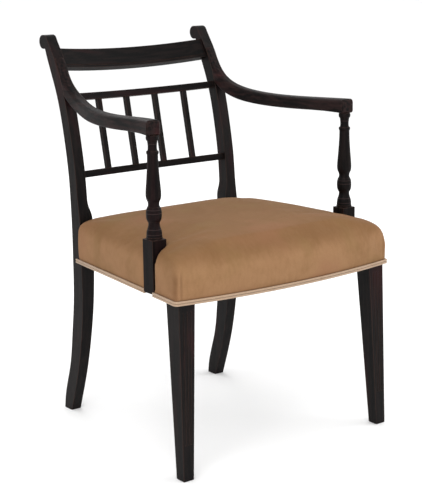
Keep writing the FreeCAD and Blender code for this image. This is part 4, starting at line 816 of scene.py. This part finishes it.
@dataclass(frozen=True)
class Pleat:
    """The pleat of velvet over each front corner: a raised crown with a pressed dip and a painted
    shadow on either side, and a painted highlight on the crown.

    Places across the pleat are distances from its crown, and grow towards the side of the chair.
    A pair of shades says how dark a shadow is everywhere, and how much darker it is at its top.
    """

    leg_front: float
    foot: float
    top: float = 424.0 * MM
    depth: float = 2.4 * MM
    start: float = 220.0 * MM
    middle: float = 262.0 * MM
    setback: float = 6.0 * MM
    shift: float = 6.4 * MM
    across: float = 0.58
    forward: float = 0.815
    crown_width: float = 2.4 * MM
    beside_place: float = 8.0 * MM
    beside_width: float = 5.5 * MM
    before_place: float = -4.0 * MM
    before_width: float = 1.8 * MM
    beside_shades: tuple[float, float] = (0.15, 0.45)
    before_shades: tuple[float, float] = (0.1, 0.75)
    press: float = 0.14
    rise: float = 2.6
    shade_fall: float = 1.15
    foot_margin: float = 6.0 * MM
    foot_blend: float = 8.0 * MM

    def reaches(self, point: Vector) -> bool:
        """Whether a point is near enough to a front corner."""
        return point.y <= -self.start and abs(point.x) >= self.start

    def at(self, point: Vector, flank: float) -> tuple[Vector, float, float]:
        """The pleat at a point.

        Args:
            point: The point.
            flank: The shade of the seat's side there.

        Returns:
            The move outwards, the shade and the light of the crown.
        """
        side = math.copysign(1.0, point.x)
        out = Vector((side * self.across, -self.forward, 0.0))
        sideways = (point.x * side - self.middle) * self.forward
        backwards = (self.leg_front + self.setback - point.y) * self.across
        along = sideways - backwards - self.shift
        height = (self.top - point.z) / (self.top - self.foot)
        fade = clamp(height * self.rise)
        fade *= clamp((point.z - self.foot + self.foot_margin) / self.foot_blend)
        crown = bell(along, self.crown_width)
        beside = bell(along - self.beside_place, self.beside_width)
        before = bell(along - self.before_place, self.before_width)
        move = out * fade * (crown - (beside + before) * self.press) * self.depth
        high = clamp(self.shade_fall - height)
        shade = flank
        for part, (everywhere, above) in ((beside, self.beside_shades), (before, self.before_shades)):
            shade += part * (everywhere + above * high)
        return move, flank * (1.0 - fade) + shade * fade, clamp(crown * fade)


@dataclass
class StuffedSeat:
    """The velvet cover over its stuffing, drawn over the seat frame and tacked under it."""

    nodes: dict
    name: str = "velvet_seat"
    slot: str = "velvet"
    fill: float = 0.8
    # The closed form and its notches
    start_shrink: float = 0.5 * MM
    voxel: float = 5.0 * MM
    post_half: float = 16.65 * MM
    post_slack: float = 1.1 * MM
    upright_inner: float = 183.7 * MM
    upright_lap: float = 16.0 * MM
    upright_slack: float = 1.4 * MM
    notch_low: float = 300.0 * MM
    notch_high: float = 600.0 * MM
    notch_far: float = 400.0 * MM
    # The cloth simulation and what is held in it
    pressure: float = 4.0
    frames: int = 18
    most_move: float = 6.0 * MM
    foot_hold: float = 2.0 * MM
    post_hold: float = 3.5 * MM
    post_side: float = 230.0 * MM
    upright_side: float = 176.0 * MM
    upright_front: float = 150.0 * MM
    post_middle: float = 0.0
    # The foot over the frame
    foot_top: float = 365.8 * MM
    foot_reach: float = 7.0 * MM
    foot_inset: float = 0.1 * MM
    foot_slope: float = 0.45
    foot_rear: float = 146.0 * MM
    skin: float = 0.9 * MM
    skin_reach: float = 3.0 * MM
    rail_clear: float = 0.25 * MM
    web_level: float = 421.5 * MM
    web_margin: float = 2.0 * MM
    head_level: float = 415.9 * MM
    block_foot: float = 330.0 * MM
    # The shading of the groove over the piping and of the sides
    groove_lift: float = 1.5 * MM
    groove_width: float = 4.0 * MM
    flank_shade: float = 0.24
    flank_start: float = 0.5
    flank_blend: float = 0.3

    def build(self) -> Piece:
        """Make the seat and let it stand for the cover and the stuffing.

        Returns:
            The seat.
        """
        seat = self.form()
        self.open_notches(seat)
        Workshop.modify(seat, "REMESH", mode="VOXEL", voxel_size=self.voxel, use_smooth_shade=True)
        self.relax(seat, 6)
        self.swell(seat)
        Workshop.modify(seat, "SUBSURF", levels=1, render_levels=1)
        self.pleat(seat)
        block = self.room()
        self.fit_foot(seat, self.walls(block))
        for vertex in block.data.vertices:
            vertex.co += Vector((vertex.co.x, vertex.co.y, 0.0)).normalized() * self.rail_clear
        Workshop.cut(seat, block)
        Workshop.smooth(seat, 50.0)
        dress(seat, WornVelvet("worn_velvet").make())
        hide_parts("seat_cover", "seat_stuffing")
        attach(seat, "root")
        LOG.info("seat: %d faces", len(seat.data.polygons))
        return seat

    def form(self) -> Piece:
        """The full domed form without its notches.

        Returns:
            The closed form.
        """
        seat = Workshop.copy(self.nodes["seat_cover"], self.name)
        Workshop.wrap(seat)
        low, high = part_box("seat_cover")
        middle = (low + high) / 2
        width, depth = (1.0 - 2.0 * self.start_shrink / (high[axis] - low[axis]) for axis in (0, 1))
        shrink = Matrix.Diagonal((width, depth, 1.0, 1.0))
        seat.data.transform(Matrix.Translation(middle) @ shrink @ Matrix.Translation(-middle))
        return seat

    def open_notches(self, seat: Piece) -> None:
        """Cut the seat clear of the arms' struts and of the uprights.

        Args:
            seat: The closed form.
        """
        half = self.post_half + self.post_slack
        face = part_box("side_seat_rail_left")[1].y - self.upright_lap - self.upright_slack
        for hand in ("left", "right"):
            low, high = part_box(f"arm_support_{hand}")
            post = (low + high) / 2
            inner = abs(post.x) - self.post_half - self.post_slack
            self.notch(seat, post.x, inner, post.y - half, post.y + half)
            self.notch(seat, post.x, self.upright_inner - self.upright_slack, face, self.notch_far)

    def notch(self, seat: Piece, side: float, inner: float, front: float, rear: float) -> None:
        """Cut one notch into a side of the seat.

        Args:
            seat: The closed form.
            side: A number with the sign of the side.
            inner: How far the notch's inner face is from the middle plane.
            front: The place of its front face.
            rear: The place of its rear face.
        """
        way = math.copysign(1.0, side)
        near, far = sorted((way * inner, way * self.notch_far))
        low, high = Vector((near, front, self.notch_low)), Vector((far, rear, self.notch_high))
        Workshop.cut(seat, Workshop.box("notch", low, high))

    def relax(self, seat: Piece, rounds: int) -> None:
        """Round the edges of the notches and of the dome a little."""
        Workshop.modify(seat, "CORRECTIVE_SMOOTH", factor=0.5, iterations=rounds, use_only_smooth=True)

    def held(self, point: Vector) -> bool:
        """Whether a point is tacked or lies against wood."""
        across = abs(point.x)
        low = point.z < self.foot_top + self.foot_hold
        from_post = abs(point.y - self.post_middle)
        by_post = across > self.post_side and from_post < self.post_half + self.post_hold
        by_upright = across > self.upright_side and point.y > self.upright_front
        return low or by_post or by_upright

    def swell(self, seat: Piece) -> None:
        """Blow the cover up over its stuffing as cloth, and keep each point near its start.

        Args:
            seat: The seat.
        """
        low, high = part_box("arm_support_left")
        self.post_middle = (low.y + high.y) / 2
        start = [vertex.co.copy() for vertex in seat.data.vertices]
        pins = seat.vertex_groups.new(name="tacked")
        held = [vertex.index for vertex in seat.data.vertices if self.held(vertex.co)]
        pins.add(held, 1.0, "REPLACE")
        Workshop.take(seat)
        cloth = seat.modifiers.new("cloth", "CLOTH")
        settings = cloth.settings
        settings.use_pressure = True
        settings.uniform_pressure_force = self.pressure
        settings.vertex_group_mass = "tacked"
        settings.effector_weights.gravity = 0.0
        settings.quality = 6
        settings.tension_stiffness = 22.0
        settings.compression_stiffness = 18.0
        settings.shear_stiffness = 8.0
        settings.bending_stiffness = 0.6
        cloth.point_cache.frame_end = self.frames
        scene = bpy.context.scene
        for frame in range(1, self.frames + 1):
            scene.frame_set(frame)
        bpy.ops.object.modifier_apply(modifier=cloth.name)
        for vertex, home in zip(seat.data.vertices, start):
            move = vertex.co - home
            if move.length > self.most_move:
                vertex.co = home + move * (self.most_move / move.length)
        scene.frame_set(1)
        self.relax(seat, 3)

    def upright_block(self, name: str, points: Iterable[Vector], top: float) -> Piece:
        """A closed block with vertical walls round some points.

        Args:
            name: The block's name.
            points: The points, whose heights don't matter.
            top: The level that the block goes up to.

        Returns:
            The block.
        """
        corners = {(round(point.x, 5), round(point.y, 5)) for point in points}
        mesh = bpy.data.meshes.new(name)
        ends = [(x, y, z) for x, y in sorted(corners) for z in (self.block_foot, top)]
        mesh.from_pydata(ends, [], [])
        block = bpy.data.objects.new(name, mesh)
        bpy.context.scene.collection.objects.link(block)
        Workshop.wrap(block)
        Workshop.outward(block)
        return block

    @staticmethod
    def walls(block: Piece) -> list[tuple[Vector, float]]:
        """The normals of a block's walls, each with its distance from the origin."""
        found = {}
        for face in block.data.polygons:
            if abs(face.normal.z) < 0.01:
                normal = Vector((face.normal.x, face.normal.y, 0.0)).normalized()
                reach = normal.dot(block.data.vertices[face.vertices[0]].co)
                found[(round(normal.x, 3), round(normal.y, 3))] = (normal, reach)
        return list(found.values())

    @staticmethod
    def outside(point: Vector, walls: list[tuple[Vector, float]]) -> tuple[Vector, float]:
        """The wall that a point is nearest to, or furthest outside of.

        Args:
            point: The point.
            walls: The walls of a block.

        Returns:
            The wall's normal, and how far the point is outside the wall.
        """
        normal, reach = max(walls, key=lambda wall: wall[0].dot(point) - wall[1])
        return normal, normal.dot(point) - reach

    def room(self) -> Piece:
        """The room of the seat frame: the rails and the leg heads, as one closed block."""
        names = ("front_seat_rail", "rear_seat_rail", "side_seat_rail_left", "side_seat_rail_right")
        points = [vertex.co for name in names for vertex in self.nodes[name].data.vertices]
        for hand in ("left", "right"):
            leg = self.nodes[f"front_leg_{hand}"].data.vertices
            points += [vertex.co for vertex in leg if vertex.co.z > self.head_level]
        return self.upright_block("frame_room", points, self.web_level)

    def fit_foot(self, seat: Piece, frame_walls: list[tuple[Vector, float]]) -> None:
        """Bring the cover's foot out to the piping, and keep it a skin's thickness outside the frame.

        Args:
            seat: The seat.
            frame_walls: The walls of the frame's room.
        """
        cover = self.nodes["seat_cover"].data.vertices
        low = [vertex.co for vertex in cover if vertex.co.z < self.foot_top]
        foot = self.upright_block("cover_foot", low, self.foot_top)
        foot_walls = self.walls(foot)
        bpy.data.objects.remove(foot)
        for vertex in seat.data.vertices:
            point = vertex.co
            by_upright = point.y > self.foot_rear and abs(point.x) > self.upright_side
            if by_upright or point.z > self.web_level + self.web_margin:
                continue
            normal, depth = self.outside(point, foot_walls)
            least = -self.foot_inset - max(point.z - self.foot_top, 0.0) * self.foot_slope
            if -self.foot_reach < depth < least:
                point += normal * (least - depth)
            elif point.z < self.foot_top and depth > 0.0:
                point -= normal * depth
            normal, depth = self.outside(point, frame_walls)
            if -self.skin_reach < depth < self.skin:
                point += normal * (self.skin - depth)

    def pleat(self, seat: Piece) -> None:
        """Fold the velvet at the two front corners, and mark shades and lights for the finish.

        Args:
            seat: The seat.
        """
        painted_shade = seat.data.attributes.new("painted_shade", "FLOAT", "POINT")
        painted_highlight = seat.data.attributes.new("painted_highlight", "FLOAT", "POINT")
        corner = Pleat(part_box("front_leg_left")[0].y, self.foot_top)
        # Read first, because each move makes Blender work out all the normals again
        sideways = [abs(vertex.normal.x) for vertex in seat.data.vertices]
        for vertex, facing in zip(seat.data.vertices, sideways):
            # Painted shade: darker just over the piping and on faces that turn sideways
            groove = (self.foot_top + self.groove_lift - vertex.co.z) / self.groove_width
            shade = self.flank_shade * clamp((facing - self.flank_start) / self.flank_blend)
            if corner.reaches(vertex.co):
                move, shade, light = corner.at(vertex.co, shade)
                vertex.co += move
                # The painted highlight on the pleat's crown, kept for the finish
                painted_highlight.data[vertex.index].value = light
            painted_shade.data[vertex.index].value = clamp(max(groove, shade))


@dataclass
class DoublePiping:
    """Two cloth-covered cords round the foot of the seat, with the seam between them."""

    nodes: dict
    slot: str = "cord"

    def build(self) -> Piece:
        """Copy the cords from the frame and cover them in cloth.

        Returns:
            The cords.
        """
        cords = Workshop.copy(self.nodes["double_piping"], "double_cord")
        Workshop.outward(cords)
        Workshop.smooth(cords, 50.0)
        self.map(cords)
        dress(cords, CordCover("cord_cover").make())
        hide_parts("double_piping")
        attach(cords, "root")
        LOG.info("piping: %d faces", len(cords.data.polygons))
        return cords

    def map(self, cords: Piece) -> None:
        """Lay a map on the cords: U is the turn round the cord and V the way along it in metres."""
        layer = cords.data.uv_layers.new(name="cord")
        for loop in cords.data.loops:
            vertex = cords.data.vertices[loop.vertex_index]
            normal = vertex.normal
            turn = math.atan2(normal.z, math.hypot(normal.x, normal.y)) / (2.0 * math.pi)
            run = vertex.co.x if abs(normal.y) > abs(normal.x) else vertex.co.y
            layer.data[loop.index].uv = (turn, run)


@dataclass
class DustCloth:
    """The black cloth under the seat, a little slack between its tacks."""

    nodes: dict
    slot: str = "lining"
    pitch: float = 16.0 * MM
    sag: float = 5.0 * MM
    ripple: float = 0.8 * MM
    reach: float = 70.0 * MM
    tacked: float = 24.0 * MM
    ripples_across: float = 52.0
    ripples_deep: float = 41.0
    ripples_start: float = 0.7
    sway: float = 1.3
    sway_deep: float = 19.0
    weave: PlainWeave = PlainWeave(
        "black_lining",
        thread=(0.018, 0.017, 0.018),
        gap=(0.006, 0.006, 0.006),
        dust=(0.06, 0.055, 0.05),
        pitch=1.1 * MM,
    )

    def build(self) -> Piece:
        """Make the cloth.

        Returns:
            The cloth.
        """
        cloth = Workshop.copy(self.nodes["bottom_cloth"], "dust_cloth")
        low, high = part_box("bottom_cloth")
        self.divide(cloth, low, high)
        self.slacken(cloth, low, high)
        Workshop.smooth(cloth, 40.0)
        dress(cloth, self.weave.make())
        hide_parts("bottom_cloth")
        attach(cloth, "root")
        LOG.info("dust cloth: %d faces", len(cloth.data.polygons))
        return cloth

    def divide(self, cloth: Piece, low: Vector, high: Vector) -> None:
        """Divide the cloth into a grid.

        Args:
            cloth: The flat cloth.
            low: The cloth's lowest corner.
            high: Its highest corner.
        """
        Workshop.take(cloth)
        bpy.ops.object.mode_set(mode="EDIT")
        for axis in (0, 1):
            normal = Vector((1.0 - axis, axis, 0.0))
            for index in range(1, int((high[axis] - low[axis]) / self.pitch)):
                middle = normal * (low[axis] + index * self.pitch)
                bpy.ops.mesh.select_all(action="SELECT")
                bpy.ops.mesh.bisect(plane_co=middle, plane_no=normal)
        bpy.ops.object.mode_set(mode="OBJECT")

    def slacken(self, cloth: Piece, low: Vector, high: Vector) -> None:
        """Let the cloth sag between the rails, with shallow ripples from its tacks.

        Args:
            cloth: The divided cloth.
            low: The cloth's lowest corner.
            high: Its highest corner.
        """
        for vertex in cloth.data.vertices:
            point = vertex.co
            sides = (point.x - low.x, high.x - point.x, point.y - low.y, high.y - point.y)
            share = clamp((min(sides) - self.tacked) / self.reach)
            share = share * share * (3.0 - 2.0 * share)
            sway = self.sway * math.sin(point.y * self.sway_deep)
            wave = math.sin(point.x * self.ripples_across + sway)
            wave *= math.sin(point.y * self.ripples_deep + self.ripples_start)
            point.z -= self.sag * share + self.ripple * (0.6 + 0.4 * wave) * share


@dataclass
class Studio:
    """A pale floor, soft light from all round and the camera."""

    place: tuple[float, float, float] = (-1.741808, -2.327679, 1.037901)
    yaw: float = -37.064
    pitch: float = 12.2107
    roll: float = -0.8224
    focal_px: float = 1371.434
    centre_px: tuple[float, float] = (211.235, 236.214)
    frame_px: tuple[int, int] = (422, 500)
    film_width: float = 36.0
    aim: tuple[float, float, float] = (0.0, 0.0, 0.45)
    glow: float = 1.05
    floor_side: float = 60.0
    floor_tones: tuple[float, float] = (0.965, 0.975)

    def build(self) -> None:
        """Set up the studio."""
        self.floor()
        self.light("key_light", place=(-2.4, -2.2, 2.9), side=2.6, watts=62.0)
        self.light("fill_light", place=(2.6, -1.6, 2.2), side=2.4, watts=26.0)
        self.light("rear_light", place=(0.6, 3.0, 2.6), side=2.4, watts=30.0)
        world = bpy.data.worlds.new("studio")
        world.use_nodes = True
        sky = world.node_tree.nodes["Background"]
        sky.inputs["Color"].default_value = (1.0, 1.0, 1.0, 1.0)
        sky.inputs["Strength"].default_value = self.glow
        bpy.context.scene.world = world
        bpy.context.scene.view_settings.view_transform = "Standard"
        self.camera()
        LOG.info("studio: floor, 3 lights and camera")

    def floor(self) -> None:
        """A wide pale floor."""
        Workshop.clear()
        bpy.ops.mesh.primitive_plane_add(size=self.floor_side, location=(0.0, 0.0, 0.0))
        floor = bpy.context.object
        floor.name = "floor"
        bench = Bench("pale_floor")
        mottle = bench.noise(bench.place(), scale=3.0, detail=2.0)
        dull, bright = ((tone, tone, tone) for tone in self.floor_tones)
        colour = bench.blend(mottle, dull, bright)
        dress(floor, bench.finish(Base_Color=colour, Roughness=0.8, Specular_IOR_Level=0.1))

    def light(self, name: str, place: tuple[float, float, float], side: float, watts: float) -> None:
        """A large soft light that faces the seat.

        Args:
            name: The light's name.
            place: Where it stands.
            side: The side of its square.
            watts: Its power.
        """
        Workshop.clear()
        bpy.ops.object.light_add(type="AREA", location=place)
        lamp = bpy.context.object
        lamp.name = name
        lamp.data.size = side
        lamp.data.energy = watts
        sight = Vector(self.aim) - Vector(place)
        lamp.rotation_euler = sight.to_track_quat("-Z", "Y").to_euler()

    def camera(self) -> None:
        """The camera at the photograph's angle."""
        data = bpy.data.cameras.new("camera")
        tall = max(self.frame_px)
        data.sensor_width = self.film_width
        data.lens = self.film_width * self.focal_px / tall
        data.shift_x = (self.frame_px[0] / 2 - self.centre_px[0]) / tall
        data.shift_y = (self.centre_px[1] - self.frame_px[1] / 2) / tall
        camera = bpy.data.objects.new("camera", data)
        camera.matrix_world = (
            Matrix.Translation(self.place)
            @ Matrix.Rotation(math.radians(self.yaw), 4, "Z")
            @ Matrix.Rotation(math.radians(90.0 - self.pitch), 4, "X")
            @ Matrix.Rotation(math.radians(self.roll), 4, "Z")
        )
        bpy.context.scene.collection.objects.link(camera)
        bpy.context.scene.camera = camera


def main() -> None:
    """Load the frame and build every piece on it."""
    logging.basicConfig(level=logging.INFO, format="%(name)s: %(message)s")
    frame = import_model()
    nodes = frame["nodes"]
    Studio().build()
    Timberwork(nodes).build()
    Fastenings(nodes).build()
    StuffedSeat(nodes).build()
    DoublePiping(nodes).build()
    DustCloth(nodes).build()


if __name__ == "__main__":
    main()
